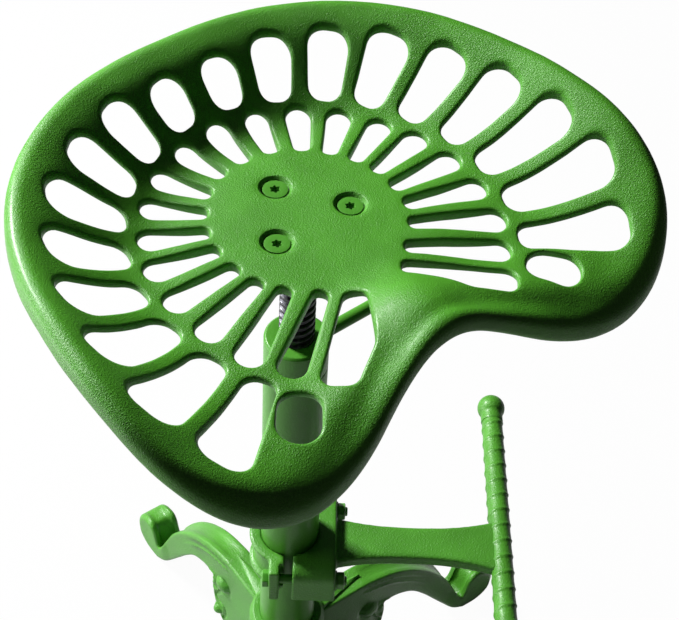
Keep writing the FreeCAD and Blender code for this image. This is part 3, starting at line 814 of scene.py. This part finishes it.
def leg_half(p):
    """Half width of the leg at points of its side view."""
    foot = 1 - near(np.hypot(*(p - SCROLL_AT).T), SCROLL_R - 2, SCROLL_R + 16)
    return (LEG_WIDTH + (FOOT_WIDTH - LEG_WIDTH) * foot) / 2


def leg_relief(p, crown):
    """Height of the side's ornament above its flat."""
    out = 0
    for centre, radius, height in (EYE, BALL):
        away = np.hypot(*(p - centre).T) / radius
        out = out + height * np.sqrt(np.clip(1 - away ** 2, 0, 1))
    out = out - GROOVE_DEPTH * np.exp(-(points_to_loop(p, groove_line()) / GROOVE_WIDTH) ** 2)
    gap = points_to_loop(p, crown)
    (first, _), (last, _) = BEADS
    beads = sum(np.exp(-((gap - at) / width) ** 2) for at, width in BEADS)
    rail = near(p[:, 0], *BEADS_RISE) * (1 - near(p[:, 0], *BEADS_FADE))
    return out + rail * (BEAD_HEIGHT * beads - BEAD_SINK * (gap > first) * (gap < last))


def leg_skin(legs):
    """One cast leg along +X with channelled crown, scroll, eye, groove and ball."""
    loop = leg_outline(legs.mesh_step)
    x, z = loop.T
    normal = outward(loop)
    rising = normal[:, 1] > 0.05
    scroll = SCROLL_AT[0]
    edge = LEG_EDGE + SCROLL_EDGE * near(x, scroll - 12, scroll + 6) * near(z, 8, 20)
    inner = loop - normal * edge[:, None]
    points, triangles = fill([inner], legs.mesh_step)
    crown = inner[rising & (inner[:, 0] > 70) & (inner[:, 0] < 200) & (inner[:, 1] > 40)]
    raised = leg_relief(points, crown) if legs.relief else 0
    skin = Skin()
    sides = {}
    for way in (1, -1):
        numbers = skin.add(np.c_[points[:, 0], way * (leg_half(points) + raised), points[:, 1]])
        skin.faces += [tuple(numbers[k] for k in t) for t in triangles]
        sides[way] = numbers[:len(loop)]
    throat, wide = THROAT
    upper = rising | (np.hypot(*(loop - throat).T) < wide)
    ends = near(x, *CHANNEL_STARTS) * (1 - near(x, scroll + 6, scroll + 20))
    depth = ends * upper * (z > CHANNEL_LEVEL)
    for _ in range(4):
        depth = eased(depth)
    least, more = CHANNEL_SHARES
    depth = depth * (least + more * near(x, *CHANNEL_DEEPENS))
    profile = [(edge * (1 - cos(a)), edge * (1 - sin(a)), 0.0) for a in LEG_TURNS]
    profile += [(aside, 0.0, sink) for aside, sink in CHANNEL]
    rows = [sides[1]]
    for way, order in ((1, profile), (-1, profile[::-1])):
        for aside, back, sink in order:
            at = loop - normal * (back - sink * depth)[:, None]
            rows.append(skin.add(np.c_[at[:, 0], way * (leg_half(loop) - aside), at[:, 1]]))
    skin.join(rows + [sides[-1]])
    hug = []
    for x, y, z in skin.points:
        pull = float(1 - near(x, COLUMN_R + 2, COLUMN_R + 18))
        hug.append((x + pull * (np.sqrt(max(COLUMN_R ** 2 - y * y, 0)) - COLUMN_R), y, max(z, 0.0)))
    skin.points = hug
    return skin


def leg_set(legs, paint):
    base = leg_skin(legs)
    size, amount, shift = LEG_WAVE
    for k, where in enumerate(("right", "rear", "left", "front")):
        skin = Skin()
        skin.faces = base.faces
        skin.points = [(x, y, max(z, 0.0)) for x, y, z in wavy(base.points, size, amount, shift + k)]
        turn = Matrix.Rotation(radians(LEG_TURN + 90 * k), 4, "Z")
        place("scroll_leg_" + where, skin, "base", paint, "frame_paint", "leg_" + where, matrix=turn)


def collar(paint):
    """Ring round the column with a pointed, ridged tongue over each leg's root."""
    skin = lathe(COLLAR, COLLAR_ROUNDS, 4)
    start, end, wide, tall = TONGUE
    for k in range(4):
        turn = radians(LEG_TURN + 90 * k)
        rows = []
        for x in np.linspace(start, end, 18):
            along = (x - start) / (end + 1 - start)
            y, z = (TONGUE_SHAPE * (wide * (1 - along), tall * (1 - 0.55 * along))).T
            plan = np.c_[x * cos(turn) - y * sin(turn), x * sin(turn) + y * cos(turn)]
            rows.append(np.c_[plan, z + ROOT_TOP - 0.1])
        skin.tube(rows)
    place("leg_star", skin, "base", paint, "frame_paint", "leg_collar")


# Foot rest

def clamp_arc(radius, way, count=40):
    """Half circle round the column, front or back, that ends at the clamp's gap."""
    edge = np.arccos(CLAMP_GAP / radius)
    return [(way * radius * cos(t), radius * sin(t)) for t in np.linspace(-edge, edge, count)]


def level_prism(skin, plan, levels):
    """Upright solid with that plan, which may be a function of the level."""
    skin.tube([[(x, y, z) for x, y in (plan(z) if callable(plan) else plan)] for z in levels])


def clamp_barrel(skin, way):
    """Half of the clamp's wall with a bead rim at its foot and top."""
    for wide, foot, top, count in (
        (CLAMP_WALL, CLAMP_FOOT, CLAMP_TOP, 8),
        (CLAMP_RIM, CLAMP_FOOT, CLAMP_FOOT + RIM_HEIGHT, 3),
        (CLAMP_RIM, CLAMP_TOP - RIM_HEIGHT, CLAMP_TOP, 3),
    ):
        plan = clamp_arc(CLAMP_BORE, way) + clamp_arc(COLUMN_R + wide, way)[::-1]
        level_prism(skin, plan, np.linspace(foot, top, count))


def place_casting(name, skin, rest, rounds, paint, node):
    """Places one skin round all the overlapping solids, with cast corners."""
    rough = show(name + "_rough", make_mesh(name + "_rough", skin))
    remesh = rough.modifiers.new("one skin", "REMESH")
    remesh.mode = "VOXEL"
    remesh.voxel_size = rest.voxel
    smooth = rough.modifiers.new("cast corners", "SMOOTH")
    smooth.factor = 0.5
    smooth.iterations = rounds
    bpy.context.view_layer.update()
    mesh = bpy.data.meshes.new_from_object(rough.evaluated_get(bpy.context.evaluated_depsgraph_get()))
    mesh.name = name
    solids = rough.data
    bpy.data.objects.remove(rough)
    bpy.data.meshes.remove(solids)
    for vertex in mesh.vertices:
        vertex.co += vertex.normal * rest.voxel * SKIN_GROWTH
    mesh.transform(ARM_TURN)
    mesh.polygons.foreach_set("use_smooth", [True] * len(mesh.polygons))
    place(name, mesh, "footrest", paint, "frame_paint", node)


def foot_arm(rest, paint):
    """Arm with its half of the clamp and the bored block, as one casting."""
    skin = Skin()
    clamp_barrel(skin, 1)
    crest = CLAMP_TOP - CREST_ROUND

    def block(z):
        """Plan of the block, drawn in round its upper edges."""
        up = max(z - crest, 0.0)
        out = EAR_OUT - CREST_ROUND + np.sqrt(max(CREST_ROUND ** 2 - up * up, 0.0))
        corners = [(CLAMP_GAP, out), (BLOCK_FACE, out), (BLOCK_FACE, -out), (CLAMP_GAP, -out)]
        return clamp_arc(CLAMP_BORE, 1, 30) + corners

    rounded = [crest + CREST_ROUND * sin(a) for a in np.linspace(0.15, 1.5, 8)]
    level_prism(skin, block, [*np.linspace(CLAMP_FOOT, crest, 4), *rounded])
    start = COLUMN_R + 3.0
    side = []
    for x in np.linspace(start, BAR_OUT, 40):
        ends = abs(2 * (x - start) / (BAR_OUT - start) - 1)
        side.append((x, ARM_WAIST / 2 + (ARM_FLARE - ARM_WAIST) / 2 * ends ** ARM_HOLLOW))
    plan = np.array([(x, -y) for x, y in side] + side[::-1])
    rows = [(back, up - ARM_THICK / 2) for back, up in ARM_EDGE]
    rows += [(back, -up) for back, up in rows[::-1]]
    skin.tube([np.c_[plan - outward(plan) * back, np.full(len(plan), ARM_LEVEL + up)] for back, up in rows])
    place_casting("foot_arm", skin, rest, 3, paint, "footrest_arm")


def clamp_back(rest, paint):
    """Rear half of the clamp with bead rims and bolt ears."""
    skin = Skin()
    clamp_barrel(skin, -1)
    for side in (1, -1):
        ear = [(-CLAMP_BORE * cos(t), side * CLAMP_BORE * sin(t)) for t in np.radians(np.linspace(73, 60, 5))]
        ear += [(-EAR_OUTER, side * EAR_ROOT), (-EAR_OUTER, side * EAR_OUT), (-EAR_INNER, side * EAR_OUT)]
        level_prism(skin, ear, np.linspace(CLAMP_FOOT, CLAMP_TOP, 8))
    place_casting("clamp_back", skin, rest, 2, paint, "clamp_shell")


def foot_bar(rest, paint):
    """Round bar with a raised spiral rib, and a ball on a short neck at each end."""
    count = 44
    lead = rest.rib_lead / MM
    loops = []
    for y in np.arange(-BAR_HALF, BAR_HALF + 0.1, 1.0):
        away = ((y / lead + np.arange(count) / count) % 1.0 - 0.5) * lead
        rib = sum(share * np.exp(-((away - at) / width) ** 2) for share, at, width in RIB)
        radius = BAR_R + RIB_HEIGHT * rib * near(BAR_HALF - abs(y), 2, 8)
        loops.append(wheel(y, radius, count, ARM_LEVEL, BAR_OUT, True))
    skin = Skin()
    skin.tube(loops)
    place("ribbed_bar", skin, "footrest", paint, "frame_paint", "footrest_bar", matrix=ARM_TURN)
    low, high = span("bar_balls")
    ball = (high - low) / 2
    profile = [(BAR_HALF + y, r) for y, r in BAR_NECK]
    turns = np.linspace(*BALL_SWEEP, 26)
    profile += [(BAR_HALF + BALL_OUT - ball * cos(t), ball * sin(t)) for t in turns]
    skin = Skin()
    for side in (1, -1):
        skin.tube([wheel(side * y, r, count, ARM_LEVEL, BAR_OUT, True) for y, r in profile])
    place("bar_end_balls", skin, "footrest", paint, "frame_paint", "bar_balls", matrix=ARM_TURN)


def clamp_fasteners(finish):
    """Hexagon bolts, washers and nuts through the ears of the clamp."""
    count = 48
    a = np.arange(count) * tau / count
    hexagon = HEX_FLATS / 2 * np.minimum(1 / np.cos((a + pi / 6) % (pi / 3) - pi / 6), HEX_CORNER)
    level = (CLAMP_FOOT + CLAMP_TOP) / 2
    for name, node, start, rows in FASTENERS:
        skin = Skin()
        solid = skin.tube if node == "clamp_bolts" else skin.hoop
        sizes = [(start + x, size if size > 1 else hexagon * size) for x, size in rows]
        for side in (1, -1):
            solid([wheel(x, size, count, level, side * BOLT_ASIDE) for x, size in sizes])
        place(name, skin, "footrest", finish, "frame_paint", node, matrix=ARM_TURN)


# Finishes

def add_node(tree, kind, inputs=None, **settings):
    """New shader node with its settings and its inputs, each a plain value or a socket to link."""
    item = tree.nodes.new(kind)
    for key, value in settings.items():
        setattr(item, key, value)
    for key, value in (inputs or {}).items():
        if isinstance(value, bpy.types.NodeSocket):
            tree.links.new(value, item.inputs[key])
        else:
            item.inputs[key].default_value = value
    return item


def ramp(tree, source, stops):
    """Maps a value through grey stops."""
    item = add_node(tree, "ShaderNodeValToRGB", {"Fac": source})
    colors = item.color_ramp.elements
    while len(colors) < len(stops):
        colors.new(0.5)
    for element, (at, grey) in zip(colors, stops):
        element.position = at
        element.color = (grey, grey, grey, 1)
    return item.outputs["Color"]


def math_node(tree, operation, *values):
    return add_node(tree, "ShaderNodeMath", dict(enumerate(values)), operation=operation).outputs["Value"]


def noisy(tree, scale, detail, rough):
    """Noise over the piece's own coordinates."""
    where = add_node(tree, "ShaderNodeTexCoord").outputs["Object"]
    inputs = {"Vector": where, "Scale": scale, "Detail": detail, "Roughness": rough}
    return add_node(tree, "ShaderNodeTexNoise", inputs).outputs["Fac"]


def mixed(tree, factor, first, second):
    """Mix of two colours, each plain or a socket, by a factor."""
    inputs = {"Factor": factor, 6: first, 7: second}
    return add_node(tree, "ShaderNodeMix", inputs, data_type="RGBA").outputs[2]


def toned(color, share, lift=0.0):
    """The colour made darker or paler."""
    return (*(min(c * share + lift, 1.0) for c in color), 1.0)


def new_group(name, inputs, outputs):
    """Empty shader node group with named value sockets, and what is given to it."""
    tree = bpy.data.node_groups.new(name, "ShaderNodeTree")
    for label, default in inputs.items():
        socket = tree.interface.new_socket(label, in_out="INPUT", socket_type="NodeSocketFloat")
        socket.default_value = default
    for label in outputs:
        tree.interface.new_socket(label, in_out="OUTPUT", socket_type="NodeSocketFloat")
    return tree, add_node(tree, "NodeGroupInput").outputs


def cast_grain_group():
    """Skin of painted sand-cast iron: a fine grain, an orange peel, slow swells and pale specks on the
    grain's peaks as painted glints.
    """
    tree, given = new_group("cast grain", {"Fine": 760.0, "Peel": 210.0}, ("Height", "Glint Speck", "Tone"))
    where = add_node(tree, "ShaderNodeTexCoord").outputs["Object"]
    pits = add_node(tree, "ShaderNodeTexVoronoi", {"Vector": where, "Scale": 130.0, "Randomness": 1.0})
    pit = ramp(tree, pits.outputs["Distance"], ((0.05, 0.0), (0.22, 1.0)))
    fine = noisy(tree, given["Fine"], 2.5, 0.62)
    grain = ramp(tree, fine, ((0.30, 0.0), (0.55, 0.5), (0.72, 1.0)))
    peel = math_node(tree, "MULTIPLY", noisy(tree, given["Peel"], 2.0, 0.5), 0.20)
    height = math_node(tree, "MULTIPLY_ADD", grain, 0.60, peel)
    add_node(tree, "NodeGroupOutput", {
        "Height": math_node(tree, "MULTIPLY_ADD", pit, 0.10, height),
        # Specks on the fine grain's peaks, which the enamel pales as painted glints
        "Glint Speck": ramp(tree, fine, ((0.56, 0.0), (0.68, 1.0))),
        "Tone": noisy(tree, 28.0, 3.0, 0.55),
    })
    return tree


def edge_wear_and_shade_group():
    """Mask of convex edges, broken up by noise, and one of the hollows. On the enamel they carry a painted
    highlight along the edges and painted shade in the hollows; on metal the edge mask is real wear.
    """
    tree, given = new_group("edge wear and shade", {"Amount": 1.0}, ("Edge", "Hollow"))
    bend = add_node(tree, "ShaderNodeNewGeometry").outputs["Pointiness"]
    broken = ramp(tree, noisy(tree, 160.0, 3.0, 0.5), ((0.35, 0.25), (0.62, 1.0)))
    edge = math_node(tree, "MULTIPLY", ramp(tree, bend, ((0.515, 0.0), (0.60, 1.0))), broken)
    add_node(tree, "NodeGroupOutput", {
        "Edge": math_node(tree, "MULTIPLY", edge, given["Amount"]),
        "Hollow": ramp(tree, bend, ((0.40, 1.0), (0.49, 0.0))),
    })
    return tree


def shared_group(tree, name, build, inputs=None):
    """Outputs of a group that all the finishes share."""
    group = bpy.data.node_groups.get(name) or build()
    return add_node(tree, "ShaderNodeGroup", inputs, node_tree=group).outputs


def emptied(owner):
    """Node tree of a material or world, without its first nodes."""
    owner.use_nodes = True
    owner.node_tree.nodes.clear()
    return owner.node_tree


def grained(name, fine, relief, rough, shader_inputs):
    """New material whose relief and roughness follow the casting's grain."""
    finish = bpy.data.materials.new(name)
    tree = emptied(finish)
    grain = shared_group(tree, "cast grain", cast_grain_group, {"Fine": fine})
    strength, distance = relief
    least, more = rough
    bump = add_node(tree, "ShaderNodeBump", {
        "Strength": strength, "Distance": distance, "Height": grain["Height"]})
    shader = add_node(tree, "ShaderNodeBsdfPrincipled", {
        "Roughness": math_node(tree, "MULTIPLY_ADD", grain["Tone"], more, least),
        "Normal": bump.outputs["Normal"], **shader_inputs})
    add_node(tree, "ShaderNodeOutputMaterial", {"Surface": shader.outputs["BSDF"]})
    return finish, tree, shader.inputs["Base Color"], grain


def paint_finish(name, color, bump, rough, fine, glint_share):
    """Enamel over cast iron: grainy, with painted shade in the hollows, and a painted highlight along the
    edges and on pale specks.
    """
    finish, tree, base, grain = grained(name, fine, (1.0, bump), (rough, 0.14), {
        "Metallic": 0.0, "Specular IOR Level": 0.32, "Coat Weight": 0.12, "Coat Roughness": 0.22})
    wear_and_shade = shared_group(tree, "edge wear and shade", edge_wear_and_shade_group)
    tone = ramp(tree, grain["Tone"], ((0.32, 0.0), (0.70, 1.0)))
    shade = mixed(tree, tone, toned(color, 0.88), toned(color, 1.10))
    # Painted shade: the colour darkened in the hollows. Painted highlight: the colour paled along convex
    # edges and on the grain's specks, as glints.
    hollow_shade_color, highlight_color = toned(color, 0.62), toned(color, 1.35, 0.045)
    for mask, share, other in (
            (wear_and_shade["Hollow"], 0.55, hollow_shade_color), (wear_and_shade["Edge"], 0.45, highlight_color), (grain["Glint Speck"], glint_share, highlight_color)):
        shade = mixed(tree, math_node(tree, "MULTIPLY", mask, share), shade, other)
    tree.links.new(shade, base)
    return finish


def metal_finish(name, color, worn, rough):
    """Bare or plated steel with a fine grain, brighter on its worn edges."""
    finish, tree, base, grain = grained(name, 1500.0, (0.6, 0.00004), (rough, 0.25), {"Metallic": 1.0})
    wear_and_shade = shared_group(tree, "edge wear and shade", edge_wear_and_shade_group)
    tone = ramp(tree, grain["Tone"], ((0.3, 0.0), (0.7, 1.0)))
    shade = mixed(tree, tone, toned(color, 0.8), toned(color, 1.15))
    tree.links.new(mixed(tree, wear_and_shade["Edge"], shade, toned(worn, 1.0)), base)
    return finish


def nylon_finish(name):
    finish, tree, base, grain = grained(name, 760.0, (0.3, 0.0001), (0.35, 0.2), {})
    tone = ramp(tree, grain["Tone"], ((0.3, 0.0), (0.7, 1.0)))
    tree.links.new(mixed(tree, tone, toned(NYLON, 0.9), toned(NYLON, 1.0)), base)
    return finish


def finish_named(name):
    """Shared finish of the stool, made the first time that it is asked for."""
    paint = bpy.context.scene.stool_paint
    if name in bpy.data.materials:
        return bpy.data.materials[name]
    if name in ENAMELS:
        color = paint.seat_color if name == "seat enamel" else paint.frame_color
        return paint_finish(name, color, *ENAMELS[name])
    return metal_finish(name, *METALS[name]) if name in METALS else nylon_finish(name)


def dress_hidden_solids():
    """Gives each solid that still shows its own finish."""
    slots = {part["node"]: part["material_slot"] for part in frame["record"]["subparts"]}
    for name, solid in frame["nodes"].items():
        if solid.type != "MESH":
            continue
        finish = finish_named(SLOT_FINISHES[slots[name]])
        if not solid.material_slots:
            solid.data.materials.append(finish)
        for slot in solid.material_slots:
            slot.material = finish


# Stage

def ray_masks(tree):
    """Masks of the rays from the camera and of those from glossy or clear surfaces."""
    path = add_node(tree, "ShaderNodeLightPath").outputs
    mirrored = math_node(tree, "MAXIMUM", path["Is Glossy Ray"], path["Is Transmission Ray"])
    return path["Is Camera Ray"], mirrored


def show_white(tree, output, share, surface, white):
    """Output that shows the surface, with a share of the white."""
    mix = add_node(tree, "ShaderNodeMixShader", {"Fac": share, 1: surface.outputs[0], 2: white.outputs[0]})
    add_node(tree, output, {"Surface": mix.outputs[0]})


def stage_world(settings):
    """White backdrop where it is seen; the light it gives comes mostly from one side of the studio."""
    world = bpy.data.worlds.new("studio")
    tree = emptied(world)
    seen, mirrored = ray_masks(tree)
    way = add_node(tree, "ShaderNodeTexCoord").outputs["Generated"]
    side = Vector(LIGHT_SIDE).normalized()
    aside = add_node(tree, "ShaderNodeVectorMath", {0: way, 1: side}, operation="DOT_PRODUCT")
    soft = ramp(tree, aside.outputs["Value"], ((0.0, 0.10), (0.25, 0.22), (0.95, 1.0)))
    level = math_node(tree, "MULTIPLY_ADD", mirrored, settings.mirrored, settings.ambient)
    strength = math_node(tree, "MULTIPLY", soft, level)
    plain = add_node(tree, "ShaderNodeBackground", {"Color": (1, 1, 1, 1), "Strength": strength})
    white = add_node(tree, "ShaderNodeBackground", {"Color": (1, 1, 1, 1), "Strength": 1.0})
    show_white(tree, "ShaderNodeOutputWorld", seen, plain, white)
    bpy.context.scene.world = world


def stage_floor(settings):
    """Matt floor that the camera and the glossy surfaces see as white."""
    skin = Skin()
    corners = [(x * FLOOR_HALF, y * FLOOR_HALF, 0) for x, y in ((-1, -1), (1, -1), (1, 1), (-1, 1))]
    skin.faces.append(tuple(skin.add(corners)))
    floor = show("studio_floor", make_mesh("studio_floor", skin))
    finish = bpy.data.materials.new("floor white")
    tree = emptied(finish)
    seen, mirrored = ray_masks(tree)
    matt = add_node(tree, "ShaderNodeBsdfDiffuse", {"Color": (FLOOR_TONE, FLOOR_TONE, FLOOR_TONE, 1)})
    white = add_node(tree, "ShaderNodeEmission", {"Color": (1, 1, 1, 1), "Strength": 1.0})
    share = math_node(
        tree, "MAXIMUM", math_node(tree, "MULTIPLY", seen, settings.floor_white),
        math_node(tree, "MULTIPLY", mirrored, settings.floor_mirrored))
    show_white(tree, "ShaderNodeOutputMaterial", share, matt, white)
    floor.data.materials.append(finish)


def area_light(name, power, at, target, size):
    light = bpy.data.lights.new(name, "AREA")
    light.shape = "RECTANGLE"
    light.size, light.size_y = size
    light.energy = power
    lamp = show(name, light)
    lamp.location = at
    lamp.rotation_euler = (Vector(target) - Vector(at)).to_track_quat("-Z", "Y").to_euler()


def stage_camera():
    """Camera at the photograph's place, turned by its azimuth, elevation and roll."""
    level, roll = cos(CAMERA_ELEVATION), CAMERA_ROLL
    back = Vector((sin(CAMERA_AZIMUTH) * level, -cos(CAMERA_AZIMUTH) * level, sin(CAMERA_ELEVATION)))
    right = (-back).cross(Vector((0, 0, 1))).normalized()
    up = right.cross(-back)
    right, up = right * cos(roll) + up * sin(roll), up * cos(roll) - right * sin(roll)
    eye = bpy.data.cameras.new("camera")
    eye.sensor_width = CAMERA_SENSOR
    eye.sensor_fit = "HORIZONTAL"
    eye.lens = CAMERA_LENS
    camera = show("camera", eye)
    turn = Matrix((right, up, back)).transposed().to_4x4()
    camera.matrix_world = Matrix.Translation(CAMERA_AT) @ turn
    bpy.context.scene.camera = camera


# Settings

class StoolSeatSettings(bpy.types.PropertyGroup):
    """Sizes of the seat's fine forms."""

    edge_round: FloatProperty(
        name="Edge Round", description="Radius of the slots' upper edges in mm", default=2.7, min=0.5,
        max=4.0)
    under_round: FloatProperty(
        name="Under Round", description="Radius of the slots' lower edges in mm", default=1.5, min=0.5,
        max=4.0)
    mesh_step: FloatProperty(
        name="Mesh Step", description="Spacing of the seat's mesh in mm", default=4.0, min=2.0, max=10.0)
    lip_rows: IntProperty(
        name="Lip Rows", description="Rows of faces round the rolled lip", default=30, min=8, max=60)
    wave: FloatProperty(
        name="Casting Wave", description="Depth of the casting's unevenness in mm", default=0.35, min=0.0,
        max=2.0)


class StoolScrewSettings(bpy.types.PropertyGroup):
    """Sizes of the height screw."""

    lead: FloatProperty(
        name="Lead", description="Rise of the thread in one turn", default=0.007, unit="LENGTH")


class StoolLegSettings(bpy.types.PropertyGroup):
    """Sizes of the legs' fine forms."""

    mesh_step: FloatProperty(
        name="Mesh Step", description="Spacing of the legs' mesh in mm", default=2.0, min=1.0, max=8.0)
    relief: IntProperty(name="Relief", description="1 adds the eye, ball and groove", default=1, min=0, max=1)


class StoolRestSettings(bpy.types.PropertyGroup):
    """Sizes of the foot rest's fine forms."""

    voxel: FloatProperty(
        name="Casting Step", description="Mesh size of the arm and clamp castings", default=0.0014,
        unit="LENGTH")
    rib_lead: FloatProperty(
        name="Rib Lead", description="Rise of the bar's spiral rib in one turn", default=0.0164,
        unit="LENGTH")


class StoolPaintSettings(bpy.types.PropertyGroup):
    """Colours of the paint."""

    seat_color: FloatVectorProperty(
        name="Seat", description="Paint of the seat", subtype="COLOR", default=(0.062, 0.272, 0.014),
        min=0, max=1)
    frame_color: FloatVectorProperty(
        name="Frame", description="Paint of the frame", subtype="COLOR", default=(0.062, 0.250, 0.020),
        min=0, max=1)


class StoolStageSettings(bpy.types.PropertyGroup):
    """Levels of the studio light."""

    ambient: FloatProperty(
        name="Ambient", description="Strength of the plain background light", default=0.05, min=0)
    mirrored: FloatProperty(
        name="Mirrored", description="Extra white that glossy surfaces mirror", default=0.55, min=0, max=1)
    floor_mirrored: FloatProperty(
        name="Floor Mirrored", description="Share of white in the floor as it is mirrored", default=0.12,
        min=0, max=1)
    floor_white: FloatProperty(
        name="Floor White", description="Share of white in the floor as it is seen", default=0.97, min=0,
        max=1)
    key_power: FloatProperty(
        name="Key Light", description="Power of the main light", default=108.0, unit="POWER")
    side_power: FloatProperty(
        name="Side Light", description="Power of the low side light", default=18.0, unit="POWER")


# Operators

class STOOL_OT_seat(bpy.types.Operator):
    """Builds the pierced cast seat"""

    bl_idname = "stool.seat"
    bl_label = "Cast Seat"

    def execute(self, context):
        seat_pan(context.scene.stool_seat, finish_named("seat enamel"))
        return {"FINISHED"}


class STOOL_OT_seat_screws(bpy.types.Operator):
    """Builds the countersunk seat screws"""

    bl_idname = "stool.seat_screws"
    bl_label = "Seat Screws"

    def execute(self, context):
        seat_screws(finish_named("frame enamel"))
        return {"FINISHED"}


class STOOL_OT_column(bpy.types.Operator):
    """Builds the threaded spindle, the column, the lock nut and its lever"""

    bl_idname = "stool.column"
    bl_label = "Column and Screw"

    def execute(self, context):
        spindle(context.scene.stool_screw, finish_named("black steel"))
        column_pieces(finish_named("frame enamel"))
        return {"FINISHED"}


class STOOL_OT_legs(bpy.types.Operator):
    """Builds the four scrolled legs and the star over their roots"""

    bl_idname = "stool.legs"
    bl_label = "Scrolled Legs"

    def execute(self, context):
        leg_set(context.scene.stool_legs, finish_named("cast frame enamel"))
        collar(finish_named("cast frame enamel"))
        return {"FINISHED"}


class STOOL_OT_foot_rest(bpy.types.Operator):
    """Builds the arm, the clamp, the ribbed bar and its fasteners"""

    bl_idname = "stool.foot_rest"
    bl_label = "Foot Rest"

    def execute(self, context):
        for build in (foot_arm, clamp_back, foot_bar):
            build(context.scene.stool_rest, finish_named("cast frame enamel"))
        clamp_fasteners(finish_named("frame enamel"))
        return {"FINISHED"}


class STOOL_OT_hardware(bpy.types.Operator):
    """Finishes the solids that show as they are: plates, bolts, washers, plug and guide"""

    bl_idname = "stool.hardware"
    bl_label = "Hidden Hardware"

    def execute(self, context):
        dress_hidden_solids()
        return {"FINISHED"}


class STOOL_OT_stage(bpy.types.Operator):
    """Sets the floor, the light and the camera"""

    bl_idname = "stool.stage"
    bl_label = "Studio"

    def execute(self, context):
        settings = context.scene.stool_stage
        context.scene.view_settings.view_transform = "Standard"
        stage_world(settings)
        stage_floor(settings)
        area_light("key", settings.key_power, *KEY_LAMP)
        area_light("side", settings.side_power, *SIDE_LAMP)
        stage_camera()
        return {"FINISHED"}


class STOOL_PT_panel(bpy.types.Panel):
    """Lists the stool's pieces and settings"""

    bl_idname = "STOOL_PT_panel"
    bl_label = "Tractor Seat Stool"
    bl_space_type = "VIEW_3D"
    bl_region_type = "UI"
    bl_category = "Stool"

    def draw(self, context):
        layout = self.layout
        for group in SETTINGS:
            box = layout.box()
            settings = getattr(context.scene, group)
            for prop in settings.bl_rna.properties:
                if prop.identifier not in ("rna_type", "name"):
                    box.prop(settings, prop.identifier)
        for operator in OPERATORS:
            layout.operator(operator.bl_idname)


SETTINGS = {
    "stool_seat": StoolSeatSettings,
    "stool_screw": StoolScrewSettings,
    "stool_legs": StoolLegSettings,
    "stool_rest": StoolRestSettings,
    "stool_paint": StoolPaintSettings,
    "stool_stage": StoolStageSettings,
}
OPERATORS = (
    STOOL_OT_seat, STOOL_OT_seat_screws, STOOL_OT_column, STOOL_OT_legs, STOOL_OT_foot_rest,
    STOOL_OT_hardware, STOOL_OT_stage,
)


def register():
    for name, group in SETTINGS.items():
        bpy.utils.register_class(group)
        setattr(bpy.types.Scene, name, PointerProperty(type=group))
    for kind in OPERATORS + (STOOL_PT_panel,):
        bpy.utils.register_class(kind)


def unregister():
    for kind in (STOOL_PT_panel,) + OPERATORS[::-1]:
        bpy.utils.unregister_class(kind)
    for name, group in reversed(SETTINGS.items()):
        delattr(bpy.types.Scene, name)
        bpy.utils.unregister_class(group)


def main():
    """Dresses the whole stool."""
    register()
    bpy.ops.stool.seat()
    bpy.ops.stool.seat_screws()
    bpy.ops.stool.column()
    bpy.ops.stool.legs()
    bpy.ops.stool.foot_rest()
    bpy.ops.stool.hardware()
    bpy.ops.stool.stage()


if __name__ == "__main__":
    main()
